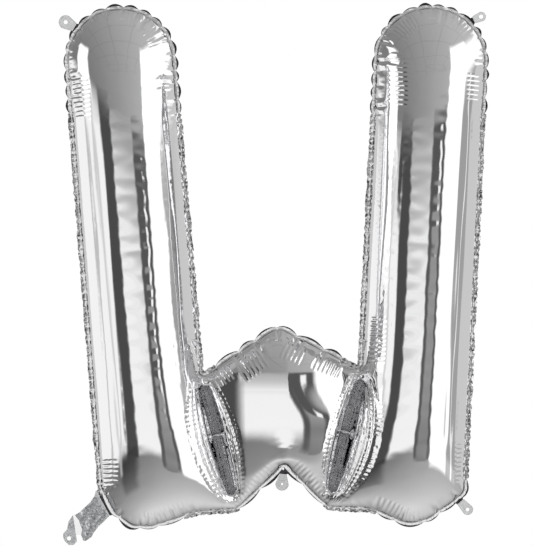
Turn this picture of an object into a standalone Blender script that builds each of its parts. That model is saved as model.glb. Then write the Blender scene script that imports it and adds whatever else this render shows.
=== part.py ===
"""Letter-shaped foil balloon, modelled as it is built: two die-cut foil sheets that bulge away from each other,
a welded seam border round them, four inner weld strips that keep the legs and the middle stroke apart, a fill
tail with its valve film, and four hanging tabs on live hinges.

Metres, +Z up. The sheets meet in the plane Y = 0 and the letter is read from -Y. The origin is the middle of
the letter, in that plane.
"""
import math

import bmesh
import bpy
import numpy as np
from mathutils import Matrix, Vector
from mathutils.geometry import delaunay_2d_cdt

MM = 0.001

# Driving dimensions
SHEET_WALL = 2.0 * MM        # each foil sheet, drawn thicker than the real film
CONTACT_GAP = 0.3 * MM       # between solids that touch
BORDER_WIDTH = 6.0 * MM      # weld border at a scallop's ends
SCALLOP_DEPTH = 2.5 * MM     # how far a scallop's middle stands out beyond that
SCALLOP_PITCH = 52.0 * MM
BORDER_THICK = 1.6 * MM
STRIP_HALF_WIDTH = 4.5 * MM  # inner weld strips
FILM_THICK = 1.2 * MM        # tabs, tail and valve film

# Spacing of the mesh points
EDGE_STEP = 19.0 * MM        # along the weld line
ARC_STEP = 14.4 * MM         # round its corners
STRIP_STEP = 13.5 * MM       # round an inner weld strip
WELD_SAMPLE = 4.0 * MM       # the rows of points are sampled this closely
STRIP_SAMPLE = 2.0 * MM
RINGS = (                    # columns: distance in from the weld, spacing along it
    (5.5 * MM, 19.0 * MM),
    (19.0 * MM, 22.0 * MM),
    (41.0 * MM, 27.0 * MM),
    (66.0 * MM, 32.0 * MM),
)
CORE_DEPTH = 80.0 * MM       # beyond the last ring the points are a plain lattice
CORE_STEP = 34.0 * MM
ROW_REACH = 0.96             # share of a row's depth that its points must keep from any outline
ROW_CROWDING = 0.62          # share of a row's spacing that two points must keep from each other
LATTICE_RISE = 0.87          # height of the lattice's triangles for a base of 1
SHORTEST_EDGE = 0.3          # an outline's edges are at least this share of its step
MERGE_DISTANCE = 0.0001 * MM
MITRE_LIMIT = 0.6            # a corner sharper than this cosine isn't offset any further
SHARP_ANGLE = math.radians(40)
STRIP_END_TURNS = [math.radians(a) for a in range(-90, 91, 45)]
TAB_END_TURNS = [math.radians(a) for a in range(0, 181, 15)]

# The weld line's corners, anticlockwise from the notch under the middle stroke.
# Columns: x, z, corner radius, all in millimetres
WELD_CORNERS_MM = (
    (14.9, -326.7, 3.0),      # notch under the middle stroke
    (87.5, -397.7, 4.0),      # right foot of the middle stroke
    (165.0, -401.0, 90.0),
    (229.4, -432.3, 60.0),    # lowest point of the right leg
    (311.0, -375.0, 22.0),    # right leg, outer bottom corner
    (350.0, 425.7, 88.0),     # right leg, top outer corner
    (171.2, 425.7, 88.0),     # right leg, top inner corner
    (141.1, -171.6, 7.0),     # right notch
    (3.3, -102.3, 16.0),      # peak of the middle stroke
    (-122.9, -184.8, 7.0),    # left notch
    (-175.9, 424.1, 86.0),    # left leg, top inner corner
    (-350.0, 424.1, 86.0),    # left leg, top outer corner
    (-288.0, -366.3, 16.0),   # left leg, above the fill tail
    (-265.7, -407.6, 20.0),   # left leg, below the fill tail
    (-234.3, -429.0, 24.0),
    (-201.3, -428.2, 50.0),   # lowest point of the left leg
    (-132.0, -405.9, 80.0),
    (-64.4, -401.0, 4.0),     # left foot of the middle stroke
)

# Inner weld strips. Columns: name, x and z of the top end, x and z of the bottom end, in millimetres
WELD_STRIPS_MM = (
    ("weld_strip_left_upper", -115.5, -206.0, -96.5, -270.0),
    ("weld_strip_left_lower", -94.5, -287.0, -73.5, -368.0),
    ("weld_strip_right_upper", 138.0, -197.0, 118.5, -263.5),
    ("weld_strip_right_lower", 113.0, -284.0, 94.5, -363.0),
)

# The middle stroke is pulled flat between the inner weld strips: two facets that meet in an upright ridge
CAP_DEPTH = 60.0 * MM        # half depth on the ridge
RIDGE_X, CAP_MIDDLE_Z = 19.0 * MM, -214.0 * MM
LEFT_TILT, LEFT_RADIUS = 0.044, 360.0 * MM
RIGHT_TILT, RIGHT_RADIUS = 0.045, 220.0 * MM
UPRIGHT_RADIUS = 550.0 * MM
BEND_Z, BEND_RADIUS = -176.0 * MM, 80.0 * MM
MIDDLE_TOP_Z, MIDDLE_LOW_Z = -168.0 * MM, -398.0 * MM
MIDDLE_LEFT = (-126.0 * MM, -64.0 * MM)      # x at those two heights
MIDDLE_RIGHT = (139.0 * MM, 84.5 * MM)
FACET_FREEDOM = 4.0          # how fast the facets let go of the film outside the middle stroke

SEAT_CLEARANCE = 4.0 * MM    # the border's own points stay this far beyond a seat's ends

# Seats: short straight edges of the border where something hangs on. Columns: name, x and z of the middle,
# the direction it faces in degrees from +X towards +Z, length, in millimetres
SEATS_MM = (
    ("tab_top_left", -331.5, 394.0, 150.0, 15.0),
    ("tab_top_right", 327.2, 406.0, 24.0, 12.0),
    ("tab_bottom_right", 305.5, -389.0, -48.0, 14.0),
    ("tab_bottom_middle", 13.0, -343.5, -97.0, 11.5),
    ("tail", -284.8, -391.2, 208.4, 47.5),
)

# Hanging tabs. Columns: name, reach from the seat, width, hole radius, in millimetres
TABS_MM = (
    ("tab_top_left", 28.0, 23.0, 3.5),
    ("tab_top_right", 21.0, 16.0, 3.7),
    ("tab_bottom_right", 26.0, 18.0, 3.2),
    ("tab_bottom_middle", 27.0, 22.0, 2.0),
)
ROOT_INSET = 0.5 * MM        # a root is this much shorter than its seat at each end
ROOT_TAPER = 2.0 * MM        # a tab's root narrows to a ridge, which its fold turns about

# Fill tail, as outlines in the plane Y = 0, all anticlockwise. Columns: x, z, in millimetres
TAIL_NECK_MM = (             # its root edge comes from the seat
    (-298.5, -379.5), (-305.9, -390.2), (-315.8, -399.3), (-322.4, -405.9), (-330.7, -410.9),
    (-324.1, -420.8), (-319.1, -435.6), (-320.8, -443.9), (-317.5, -452.9), (-313.3, -453.8),
    (-304.3, -448.0), (-297.7, -437.3), (-291.1, -429.0), (-284.5, -423.2),
)
VALVE_FILM_MM = (
    (-333.5, -411.2), (-329.8, -435.5), (-328.8, -443.8), (-321.2, -443.8),
    (-319.6, -435.7), (-324.5, -421.1), (-331.1, -411.2),
)
TAIL_FLAP_MM = (
    (-334.0, -410.9), (-341.4, -421.6), (-343.9, -434.8), (-350.1, -441.4), (-350.1, -448.0),
    (-347.2, -454.6), (-340.6, -460.4), (-333.1, -460.4), (-327.4, -454.6), (-330.2, -435.6),
)
FILL_HOLE_MM = (-340.5, -449.5)
FILL_HOLE_RADIUS = 3.4 * MM
HOLE_SIDES = 18

# Finishes: name, colour, metallic value, roughness
FOIL = ("foil", (0.86, 0.87, 0.88, 1.0), 1.0, 0.05)
WELDED_FOIL = ("weld_foil", (0.78, 0.79, 0.80, 1.0), 1.0, 0.20)
TAB_FILM = ("tab_film", (0.70, 0.71, 0.72, 1.0), 0.4, 0.30)
TAIL_FILM = ("tail_film", (0.72, 0.73, 0.74, 1.0), 0.8, 0.30)
VALVE_FILM = ("valve_film", (0.90, 0.91, 0.92, 1.0), 0.0, 0.15)


def remove_startup_objects():
    for obj in list(bpy.data.objects):
        bpy.data.objects.remove(obj)


def material(name, colour, metallic, roughness):
    made = bpy.data.materials.get(name) or bpy.data.materials.new(name)
    made.use_nodes = True
    shader = made.node_tree.nodes["Principled BSDF"]
    shader.inputs["Base Color"].default_value = colour
    shader.inputs["Metallic"].default_value = metallic
    shader.inputs["Roughness"].default_value = roughness
    return made


# Plane outlines

def rounded_outline(corners, step):
    """The closed outline through the corners (x, z, radius), each rounded by an arc, as points."""
    places = [np.array(c[:2]) for c in corners]
    points = []
    for i, here in enumerate(places):
        before = places[i - 1] - here
        after = places[(i + 1) % len(places)] - here
        before /= np.linalg.norm(before)
        after /= np.linalg.norm(after)
        half = math.acos(np.clip(before @ after, -1, 1)) / 2
        radius = corners[i][2]
        centre = here + (before + after) / np.linalg.norm(before + after) * radius / math.sin(half)
        start = here + before * radius / math.tan(half) - centre
        end = here + after * radius / math.tan(half) - centre
        turn = math.atan2(start[0] * end[1] - start[1] * end[0], start @ end)
        pieces = max(2, round(abs(turn) * radius / step))
        for j in range(pieces + 1):
            c, s = math.cos(turn * j / pieces), math.sin(turn * j / pieces)
            points.append(centre + np.array([c * start[0] - s * start[1], s * start[0] + c * start[1]]))
    return np.array(points)


def evenly_spaced(outline, step):
    """The closed outline with its long edges divided, so that no edge is much longer than step."""
    points = []
    for a, b in zip(outline, np.roll(outline, -1, axis=0)):
        pieces = max(1, round(np.linalg.norm(b - a) / step))
        points += [a + (b - a) * j / pieces for j in range(pieces)]
    kept = [points[0]]
    for p in points[1:]:
        if np.linalg.norm(p - kept[-1]) > SHORTEST_EDGE * step:
            kept.append(p)
    return np.array(kept)


def outward_normals(outline):
    """Unit normals of an anticlockwise outline, pointing out of it."""
    along = np.roll(outline, -1, axis=0) - np.roll(outline, 1, axis=0)
    normals = np.column_stack([along[:, 1], -along[:, 0]])
    return normals / np.linalg.norm(normals, axis=1)[:, None]


def mitred_offset(outline, distance):
    """The anticlockwise outline moved out by distance, which may differ from point to point."""
    before = outline - np.roll(outline, 1, axis=0)
    before /= np.linalg.norm(before, axis=1)[:, None]
    edge_normal = np.column_stack([before[:, 1], -before[:, 0]])
    middle = edge_normal + np.roll(edge_normal, -1, axis=0)
    middle /= np.linalg.norm(middle, axis=1)[:, None]
    stretch = 1 / np.maximum(MITRE_LIMIT, (middle * edge_normal).sum(axis=1))
    return outline + middle * (stretch * distance)[:, None]


def strip_outline(top, bottom, half_width, step):
    """A straight strip with round ends, anticlockwise."""
    along = (top - bottom) / np.linalg.norm(top - bottom)
    side = np.array([along[1], -along[0]])
    points = [top + half_width * (math.cos(a) * along - math.sin(a) * side) for a in STRIP_END_TURNS]
    points += [bottom - half_width * (math.cos(a) * along - math.sin(a) * side) for a in STRIP_END_TURNS]
    outline = np.array(points)
    area = np.cross(outline, np.roll(outline, -1, axis=0)).sum()
    return evenly_spaced(outline if area > 0 else outline[::-1], step)


def distance_to(outline, points):
    """How far each point lies from a closed outline."""
    nearest = np.full(len(points), np.inf)
    for a, b in zip(outline, np.roll(outline, -1, axis=0)):
        share = np.clip((points - a) @ (b - a) / ((b - a) @ (b - a)), 0, 1)
        nearest = np.minimum(nearest, np.linalg.norm(points - a - share[:, None] * (b - a), axis=1))
    return nearest


def is_inside(outline, points):
    inside = np.zeros(len(points), bool)
    for a, b in zip(outline, np.roll(outline, -1, axis=0)):
        if a[1] != b[1]:
            crosses = (a[1] > points[:, 1]) != (b[1] > points[:, 1])
            inside ^= crosses & (points[:, 0] < (b[0] - a[0]) * (points[:, 1] - a[1]) / (b[1] - a[1]) + a[0])
    return inside


def triangulated(outlines, inner_points):
    """(points, triangles) of the area inside the first outline and outside the others."""
    points, edges = [], []
    for outline in outlines:
        first = len(points)
        points += [Vector(p) for p in outline]
        edges += [(first + i, first + (i + 1) % len(outline)) for i in range(len(outline))]
    points += [Vector(p) for p in inner_points]
    found, _, faces, *_ = delaunay_2d_cdt(points, edges, [], 1, MERGE_DISTANCE)
    found = np.array([tuple(p) for p in found])
    faces = np.array([tuple(f) for f in faces])
    middle = found[faces].mean(axis=1)
    wanted = is_inside(outlines[0], middle)
    for hole in outlines[1:]:
        wanted &= ~is_inside(hole, middle)
    return found, faces[wanted]


def boundary_edges(faces):
    """The directed edges that only one triangle has."""
    directed = {(f[i], f[(i + 1) % 3]) for f in faces.tolist() for i in range(3)}
    return [(a, b) for a, b in sorted(directed) if (b, a) not in directed]


# The inflated sheets

def sheet_points(weld, strips):
    """Points inside the weld, in rows that follow it, closer together where the sheet curves most."""
    outlines = [weld] + strips
    rows = []
    for depth, step in RINGS:
        dense = evenly_spaced(weld, WELD_SAMPLE)
        row = [dense - depth * outward_normals(dense)]
        for strip in strips:
            dense = evenly_spaced(strip, STRIP_SAMPLE)
            row.append(dense + depth * outward_normals(dense))
        rows.append((np.concatenate(row), depth, step))
    low, high = weld.min(axis=0), weld.max(axis=0)
    lattice = [
        (x + (k % 2) * CORE_STEP / 2, z)
        for k, z in enumerate(np.arange(low[1], high[1], CORE_STEP * LATTICE_RISE))
        for x in np.arange(low[0], high[0], CORE_STEP)
    ]
    rows.append((np.array(lattice), CORE_DEPTH, CORE_STEP))
    kept = np.empty((0, 2))
    for candidates, depth, step in rows:
        reach = np.min([distance_to(o, candidates) for o in outlines], axis=0)
        good = is_inside(weld, candidates) & (reach > ROW_REACH * depth)
        for p in candidates[good]:
            if not len(kept) or np.linalg.norm(kept - p, axis=1).min() > ROW_CROWDING * step:
                kept = np.vstack([kept, p])
    return kept


def solved_height_square(points, faces):
    """Solves for a skin stretched over the outline under even pressure, held at zero on the weld. For a straight
    tube its value is the square of a half circle's height, so its root is the tube's own round section."""
    count = len(points)
    stiffness = np.zeros((count, count))
    load = np.zeros(count)
    for face in faces:
        corner = points[face]
        sides = np.array([corner[2] - corner[1], corner[0] - corner[2], corner[1] - corner[0]])
        area = abs(sides[0][0] * sides[1][1] - sides[0][1] * sides[1][0]) / 2
        stiffness[np.ix_(face, face)] += sides @ sides.T / (4 * area)
        load[face] += 2 * area / 3
    on_weld = np.zeros(count, bool)
    on_weld[np.unique(boundary_edges(faces))] = True
    free = ~on_weld
    value = np.zeros(count)
    value[free] = np.linalg.solve(stiffness[np.ix_(free, free)], load[free])
    return value, on_weld


def facet_depth(points):
    """How deep the film may lie at each point, for the flat facets of the middle stroke."""
    x, z = points.T
    to_left, to_right = np.maximum(RIDGE_X - x, 0), np.maximum(x - RIDGE_X, 0)
    depth = CAP_DEPTH - LEFT_TILT * to_left - to_left ** 2 / (2 * LEFT_RADIUS)
    depth = depth - RIGHT_TILT * to_right - to_right ** 2 / (2 * RIGHT_RADIUS)
    depth = depth - (z - CAP_MIDDLE_Z) ** 2 / (2 * UPRIGHT_RADIUS)
    depth = depth - np.maximum(z - BEND_Z, 0) ** 2 / (2 * BEND_RADIUS)
    fallen = np.maximum(MIDDLE_TOP_Z - z, 0) / (MIDDLE_TOP_Z - MIDDLE_LOW_Z)
    left_edge = MIDDLE_LEFT[0] + (MIDDLE_LEFT[1] - MIDDLE_LEFT[0]) * fallen
    right_edge = MIDDLE_RIGHT[0] + (MIDDLE_RIGHT[1] - MIDDLE_RIGHT[0]) * fallen
    outside = np.maximum(np.maximum(left_edge - x, x - right_edge), 0)
    return np.maximum(depth, 0) + FACET_FREEDOM * outside


def outward_directions(points, faces, value, height, on_weld):
    """The unit normal of the bulged sheet at each point, as (x, height, z)."""
    slope = np.zeros((len(points), 2))
    for face in faces:
        a, b, c = points[face]
        twice = (b - a)[0] * (c - a)[1] - (b - a)[1] * (c - a)[0]
        to_b, to_c = value[face[1]] - value[face[0]], value[face[2]] - value[face[0]]
        grad = np.array([to_b * (c - a)[1] - to_c * (b - a)[1], to_c * (b - a)[0] - to_b * (c - a)[0]])
        slope[face] += grad / np.sign(twice)
    share = np.zeros(len(points))
    for face in faces:
        a, b, c = points[face]
        share[face] += abs((b - a)[0] * (c - a)[1] - (b - a)[1] * (c - a)[0])
    slope /= share[:, None]
    normal = np.column_stack([-slope[:, 0], 2 * height, -slope[:, 1]])
    normal[on_weld, 1] = 0
    return normal / np.linalg.norm(normal, axis=1)[:, None]


def sheet_mesh(name, points, faces, height, normal, side):
    """One foil sheet as a closed shell. side is -1 for the front sheet and +1 for the back one."""
    rest = CONTACT_GAP / 2
    outer = np.column_stack([points[:, 0], side * (height + rest), points[:, 1]])
    inner_height = np.maximum(height - SHEET_WALL * normal[:, 1], 0)
    inner = np.column_stack([
        points[:, 0] - SHEET_WALL * normal[:, 0],
        side * (inner_height + rest),
        points[:, 1] - SHEET_WALL * normal[:, 2],
    ])
    count = len(points)
    out_faces = faces if side < 0 else faces[:, ::-1]
    polygons = out_faces.tolist() + (out_faces[:, ::-1] + count).tolist()
    for a, b in boundary_edges(out_faces):
        polygons.append((b, a, a + count, b + count))
    return finished_object(name, np.vstack([outer, inner]), polygons, FOIL)


# Solids

def finished_object(name, points, polygons, finish):
    mesh = bpy.data.meshes.new(name)
    mesh.from_pydata([tuple(p) for p in points], [], polygons)
    work = bmesh.new()
    work.from_mesh(mesh)
    bmesh.ops.recalc_face_normals(work, faces=work.faces)
    bmesh.ops.delete(work, geom=[v for v in work.verts if not v.link_faces], context="VERTS")
    work.to_mesh(mesh)
    work.free()
    mesh.shade_smooth()
    mesh.set_sharp_from_angle(angle=SHARP_ANGLE)
    mesh.materials.append(material(*finish))
    obj = bpy.data.objects.new(name, mesh)
    bpy.context.scene.collection.objects.link(obj)
    return obj


def plate_object(name, outlines, thickness, finish, root=None):
    """A flat plate in the plane Y = 0. root is the pair of end points of a root edge, which narrows to a ridge."""
    points, faces = triangulated(outlines, [])
    count = len(points)
    front = np.column_stack([points[:, 0], np.full(count, -thickness / 2), points[:, 1]])
    back = front + np.array([0, thickness, 0])
    vertices = [front, back]
    polygons = faces.tolist() + (faces[:, ::-1] + count).tolist()
    ridge_of = {}
    if root is not None:
        middle, out, half = root
        side = np.array([-out[1], out[0]])
        for k, sign in enumerate((-1, 1)):
            end = middle + sign * half * side
            ridge = end - ROOT_TAPER * out
            vertices.append(np.array([[ridge[0], 0, ridge[1]]]))
            ridge_of[int(np.linalg.norm(points - end, axis=1).argmin())] = 2 * count + k
    for a, b in boundary_edges(faces):
        if a in ridge_of and b in ridge_of:
            ridge_a, ridge_b = ridge_of[a], ridge_of[b]
            polygons += [(b, a, ridge_a, ridge_b), (ridge_b, ridge_a, a + count, b + count)]
            polygons += [(a, a + count, ridge_a), (b + count, b, ridge_b)]
        else:
            polygons.append((b, a, a + count, b + count))
    return finished_object(name, np.vstack(vertices), polygons, finish)


def seat(name):
    """(middle, direction it faces, half length) of a seat on the border."""
    _, x, z, facing, length = next(row for row in SEATS_MM if row[0] == name)
    turn = math.radians(facing)
    return np.array([x, z]) * MM, np.array([math.cos(turn), math.sin(turn)]), length * MM / 2


def with_seat(outline, name):
    """The anticlockwise outline with a seat's straight edge in place of the points near it."""
    middle, out, half = seat(name)
    side = np.array([-out[1], out[0]])
    between = np.linalg.norm((outline + np.roll(outline, -1, axis=0)) / 2 - middle, axis=1)
    outline = np.roll(outline, -int(between.argmin()) - 1, axis=0)
    near = np.linalg.norm(outline - middle, axis=1) < half + SEAT_CLEARANCE
    first, last = 0, len(outline)
    while near[first]:
        first += 1
    while near[last - 1]:
        last -= 1
    return np.vstack([outline[first:last], middle - half * side, middle + half * side])


def border_object(name, weld):
    """The welded border outside the weld line. Its outer edge is a row of shallow scallops, cut by the seats."""
    length = np.cumsum(np.linalg.norm(weld - np.roll(weld, 1, axis=0), axis=1))
    scallops = round(length[-1] / SCALLOP_PITCH)
    wave = np.abs(np.sin(math.pi * scallops * length / length[-1]))
    outer = mitred_offset(weld, BORDER_WIDTH + SCALLOP_DEPTH * wave)
    for row in SEATS_MM:
        outer = with_seat(outer, row[0])
    inner = mitred_offset(weld, np.full(len(weld), CONTACT_GAP))
    return plate_object(name, [outer, inner], BORDER_THICK, WELDED_FOIL)


def fold_on(name):
    """(middle of the fold, direction, half length) for what hangs on a seat. The fold lies in front of the seat
    at the contact gap, and its axis is the ridge that the root narrows to."""
    middle, out, half = seat(name)
    fold = middle + CONTACT_GAP * out
    side = np.array([-out[1], out[0]])
    print(name, "fold at x, z", fold.round(5).tolist(), "along", side.round(5).tolist())
    return fold, out, half - ROOT_INSET


def with_origin_on(obj, fold):
    """The object where it was, with its origin on its fold."""
    obj.data.transform(Matrix.Translation((-fold[0], 0, -fold[1])))
    obj.location = (fold[0], 0, fold[1])


def circle(centre, radius, pieces):
    turns = [2 * math.pi * k / pieces for k in range(pieces)]
    return np.array([centre + radius * np.array([math.cos(t), math.sin(t)]) for t in turns])


def tab_object(name, reach, width, hole_radius):
    """A hanging tab: a strip with a round end and a hole, and a ridge for a root."""
    fold, out, root_half = fold_on(name)
    root = fold + ROOT_TAPER * out
    side = np.array([-out[1], out[0]])
    half = width / 2
    centre = fold + out * (reach - half)
    outline = [root + side * root_half, root - side * root_half]
    outline += [centre + half * (math.sin(a) * out - math.cos(a) * side) for a in TAB_END_TURNS]
    tab = plate_object(name, [np.array(outline), circle(centre, hole_radius, HOLE_SIDES)], FILM_THICK, TAB_FILM,
                       root=(root, out, root_half))
    with_origin_on(tab, fold)
    print(name, "hole at x, z", centre.round(5).tolist())


def build_envelope():
    corners = [(x * MM, z * MM, r * MM) for x, z, r in WELD_CORNERS_MM]
    weld = evenly_spaced(rounded_outline(corners, ARC_STEP), EDGE_STEP)
    strips = []
    for name, top_x, top_z, low_x, low_z in WELD_STRIPS_MM:
        top, low = np.array([top_x, top_z]) * MM, np.array([low_x, low_z]) * MM
        strips.append(strip_outline(top, low, STRIP_HALF_WIDTH, STRIP_STEP))
        plate = strip_outline(top, low, STRIP_HALF_WIDTH - CONTACT_GAP, STRIP_STEP)
        plate_object(name, [plate], BORDER_THICK, WELDED_FOIL)
    points, faces = triangulated([weld] + strips, sheet_points(weld, strips))
    value, on_weld = solved_height_square(points, faces)
    value = np.minimum(value, facet_depth(points) ** 2)
    height = np.sqrt(value)
    normal = outward_directions(points, faces, value, height, on_weld)
    sheet_mesh("front_sheet", points, faces, height, normal, -1)
    sheet_mesh("back_sheet", points, faces, height, normal, 1)
    print("sheet points", len(points), "triangles", len(faces), "half depth", round(height.max() / MM, 1), "mm")
    border_object("seam_border", weld)


def build_tabs():
    for name, reach, width, hole_radius in TABS_MM:
        tab_object(name, reach * MM, width * MM, hole_radius * MM)


def build_tail():
    """The neck, the valve film in its mouth and the flap, which turn together on an empty at the tail's fold."""
    fold, out, half = fold_on("tail")
    root = fold + ROOT_TAPER * out
    side = np.array([-out[1], out[0]])
    neck_outline = np.vstack([np.array(TAIL_NECK_MM) * MM, root + side * half, root - side * half])
    hole = circle(np.array(FILL_HOLE_MM) * MM, FILL_HOLE_RADIUS, HOLE_SIDES)
    neck = plate_object("tail_neck", [neck_outline], FILM_THICK, TAIL_FILM, root=(root, out, half))
    valve = plate_object("valve_film", [np.array(VALVE_FILM_MM) * MM], FILM_THICK / 2, VALVE_FILM)
    flap = plate_object("tail_flap", [np.array(TAIL_FLAP_MM) * MM, hole], FILM_THICK, TAIL_FILM)
    hinge = bpy.data.objects.new("fill_tail_fold", None)
    bpy.context.scene.collection.objects.link(hinge)
    hinge.location = (fold[0], 0, fold[1])
    for obj in (neck, valve, flap):
        with_origin_on(obj, fold)
        obj.location = (0, 0, 0)
        obj.parent = hinge


def main():
    remove_startup_objects()
    build_envelope()
    build_tabs()
    build_tail()


main()
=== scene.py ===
# %% [markdown]
# # A silver foil balloon in the shape of the letter W
# Two sheets of mirror film are cut to the letter, welded round the edge and blown full of air. Everything that
# makes such a balloon look real comes from that: round tubes, puckers where a curved weld had to shorten, tight
# ripples along the seams, and a mirror that shows the studio round it. This script follows the same steps.

# %% Frame
import math
import time

import bpy
import numpy as np
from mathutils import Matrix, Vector, kdtree, noise
from mathutils.geometry import delaunay_2d_cdt


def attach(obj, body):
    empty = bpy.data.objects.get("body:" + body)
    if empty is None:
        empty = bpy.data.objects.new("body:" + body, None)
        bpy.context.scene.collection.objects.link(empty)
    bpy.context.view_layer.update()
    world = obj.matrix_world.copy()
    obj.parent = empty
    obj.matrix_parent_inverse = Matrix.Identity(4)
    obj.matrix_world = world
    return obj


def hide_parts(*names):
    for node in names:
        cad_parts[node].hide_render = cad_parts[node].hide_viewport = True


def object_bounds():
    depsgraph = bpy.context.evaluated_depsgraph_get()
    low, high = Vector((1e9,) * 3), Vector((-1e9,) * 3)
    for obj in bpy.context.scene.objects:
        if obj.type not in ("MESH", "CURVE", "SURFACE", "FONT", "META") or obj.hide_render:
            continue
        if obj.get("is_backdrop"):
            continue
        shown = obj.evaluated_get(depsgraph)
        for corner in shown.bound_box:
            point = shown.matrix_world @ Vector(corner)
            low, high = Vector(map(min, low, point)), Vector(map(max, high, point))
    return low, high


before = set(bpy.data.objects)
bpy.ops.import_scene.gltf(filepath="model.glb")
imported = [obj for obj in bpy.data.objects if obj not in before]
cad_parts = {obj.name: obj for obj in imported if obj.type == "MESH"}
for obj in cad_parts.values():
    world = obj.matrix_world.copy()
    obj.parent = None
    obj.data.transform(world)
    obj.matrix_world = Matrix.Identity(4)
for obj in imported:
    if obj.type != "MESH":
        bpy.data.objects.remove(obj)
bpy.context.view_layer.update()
scene = bpy.context.scene
started = time.time()
MM = 0.001

# %% [markdown]
# ## Camera
# The photo looks straight at the letter from far away, so a long lens six metres off gives almost no
# perspective. The picture is 533 by 546 pixels and one pixel shows 1.65 mm of the letter.

# %% Camera
PIXEL = 1.65 * MM
PICTURE_HEIGHT = 546 * PIXEL
CAMERA_DISTANCE = 6.0
SENSOR = 24.0

camera = bpy.data.objects.new("camera", bpy.data.cameras.new("camera"))
scene.collection.objects.link(camera)
camera.location = (-8.9 * PIXEL, -CAMERA_DISTANCE, -7.0 * PIXEL)
camera.rotation_euler = (math.radians(90), 0, 0)
camera.data.sensor_fit = "VERTICAL"
camera.data.sensor_height = SENSOR
camera.data.lens = SENSOR * CAMERA_DISTANCE / PICTURE_HEIGHT
scene.camera = camera
scene.view_settings.view_transform = "Standard"
print("lens in millimetres:", round(camera.data.lens, 1))

# %% [markdown]
# ## Studio
# A mirror has no look of its own: it shows the room. The bands down each leg are soft boxes and the dark gaps
# between them, so the studio is written as a short table of cards on a big sphere, each with its bearing and
# height in degrees as the balloon sees it. Bearing 0 is towards the camera and rises to the reader's right.
# One node group cuts a soft-edged card out of the sphere and shades it from foot to head, and the table places
# it once a row, each card over the ones before. Brightness is set as the eye sees it and made light at the end.

# %% Nodes that do sums
def sum_node(tree, operation, *values):
    """A Math node. A value is a number or another node's output."""
    node = tree.nodes.new("ShaderNodeMath")
    node.operation = operation
    for slot, value in zip(node.inputs, values):
        if isinstance(value, (int, float)):
            slot.default_value = value
        else:
            tree.links.new(value, slot)
    return node.outputs[0]


def soft_step(tree, value, edge, softness):
    """0 below the edge and 1 above it, blurred by the softness."""
    step = tree.nodes.new("ShaderNodeMapRange")
    step.interpolation_type = "SMOOTHSTEP"
    tree.links.new(value, step.inputs["Value"])
    tree.links.new(sum_node(tree, "SUBTRACT", edge, softness), step.inputs["From Min"])
    tree.links.new(sum_node(tree, "ADD", edge, softness), step.inputs["From Max"])
    return step.outputs["Result"]


def group_with(name, inputs, outputs):
    """An empty node group. inputs and outputs are (name, socket type) or (name, socket type, default)."""
    group = bpy.data.node_groups.new(name, "ShaderNodeTree")
    for direction, sockets in (("INPUT", inputs), ("OUTPUT", outputs)):
        for entry in sockets:
            socket = group.interface.new_socket(name=entry[0], in_out=direction, socket_type=entry[1])
            if len(entry) > 2:
                socket.default_value = entry[2]
    return group, group.nodes.new("NodeGroupInput"), group.nodes.new("NodeGroupOutput")


NUMBER = "NodeSocketFloat"
CARD_VALUES = ("Left", "Right", "Bottom", "Top", "Side Softness", "Top Softness", "Foot Level", "Head Level")
card_group, card_in, card_out = group_with(
    "studio_card", [(n, NUMBER) for n in ("Bearing", "Height") + CARD_VALUES], [("Mask", NUMBER), ("Level", NUMBER)])
sides = [soft_step(card_group, card_in.outputs["Bearing"], card_in.outputs[e], card_in.outputs["Side Softness"])
         for e in ("Left", "Right")]
ends = [soft_step(card_group, card_in.outputs["Height"], card_in.outputs[e], card_in.outputs["Top Softness"])
        for e in ("Bottom", "Top")]
across = sum_node(card_group, "SUBTRACT", sides[0], sides[1])
upwards = sum_node(card_group, "SUBTRACT", ends[0], ends[1])
card_group.links.new(sum_node(card_group, "MULTIPLY", across, upwards), card_out.inputs["Mask"])
climbed = sum_node(card_group, "SUBTRACT", card_in.outputs["Height"], card_in.outputs["Bottom"])
card_rise = sum_node(card_group, "SUBTRACT", card_in.outputs["Top"], card_in.outputs["Bottom"])
gain = sum_node(card_group, "SUBTRACT", card_in.outputs["Head Level"], card_in.outputs["Foot Level"])
gained = sum_node(card_group, "MULTIPLY", gain, sum_node(card_group, "DIVIDE", climbed, card_rise))
card_group.links.new(sum_node(card_group, "ADD", gained, card_in.outputs["Foot Level"]), card_out.inputs["Level"])
print("group made:", card_group.name)

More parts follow.
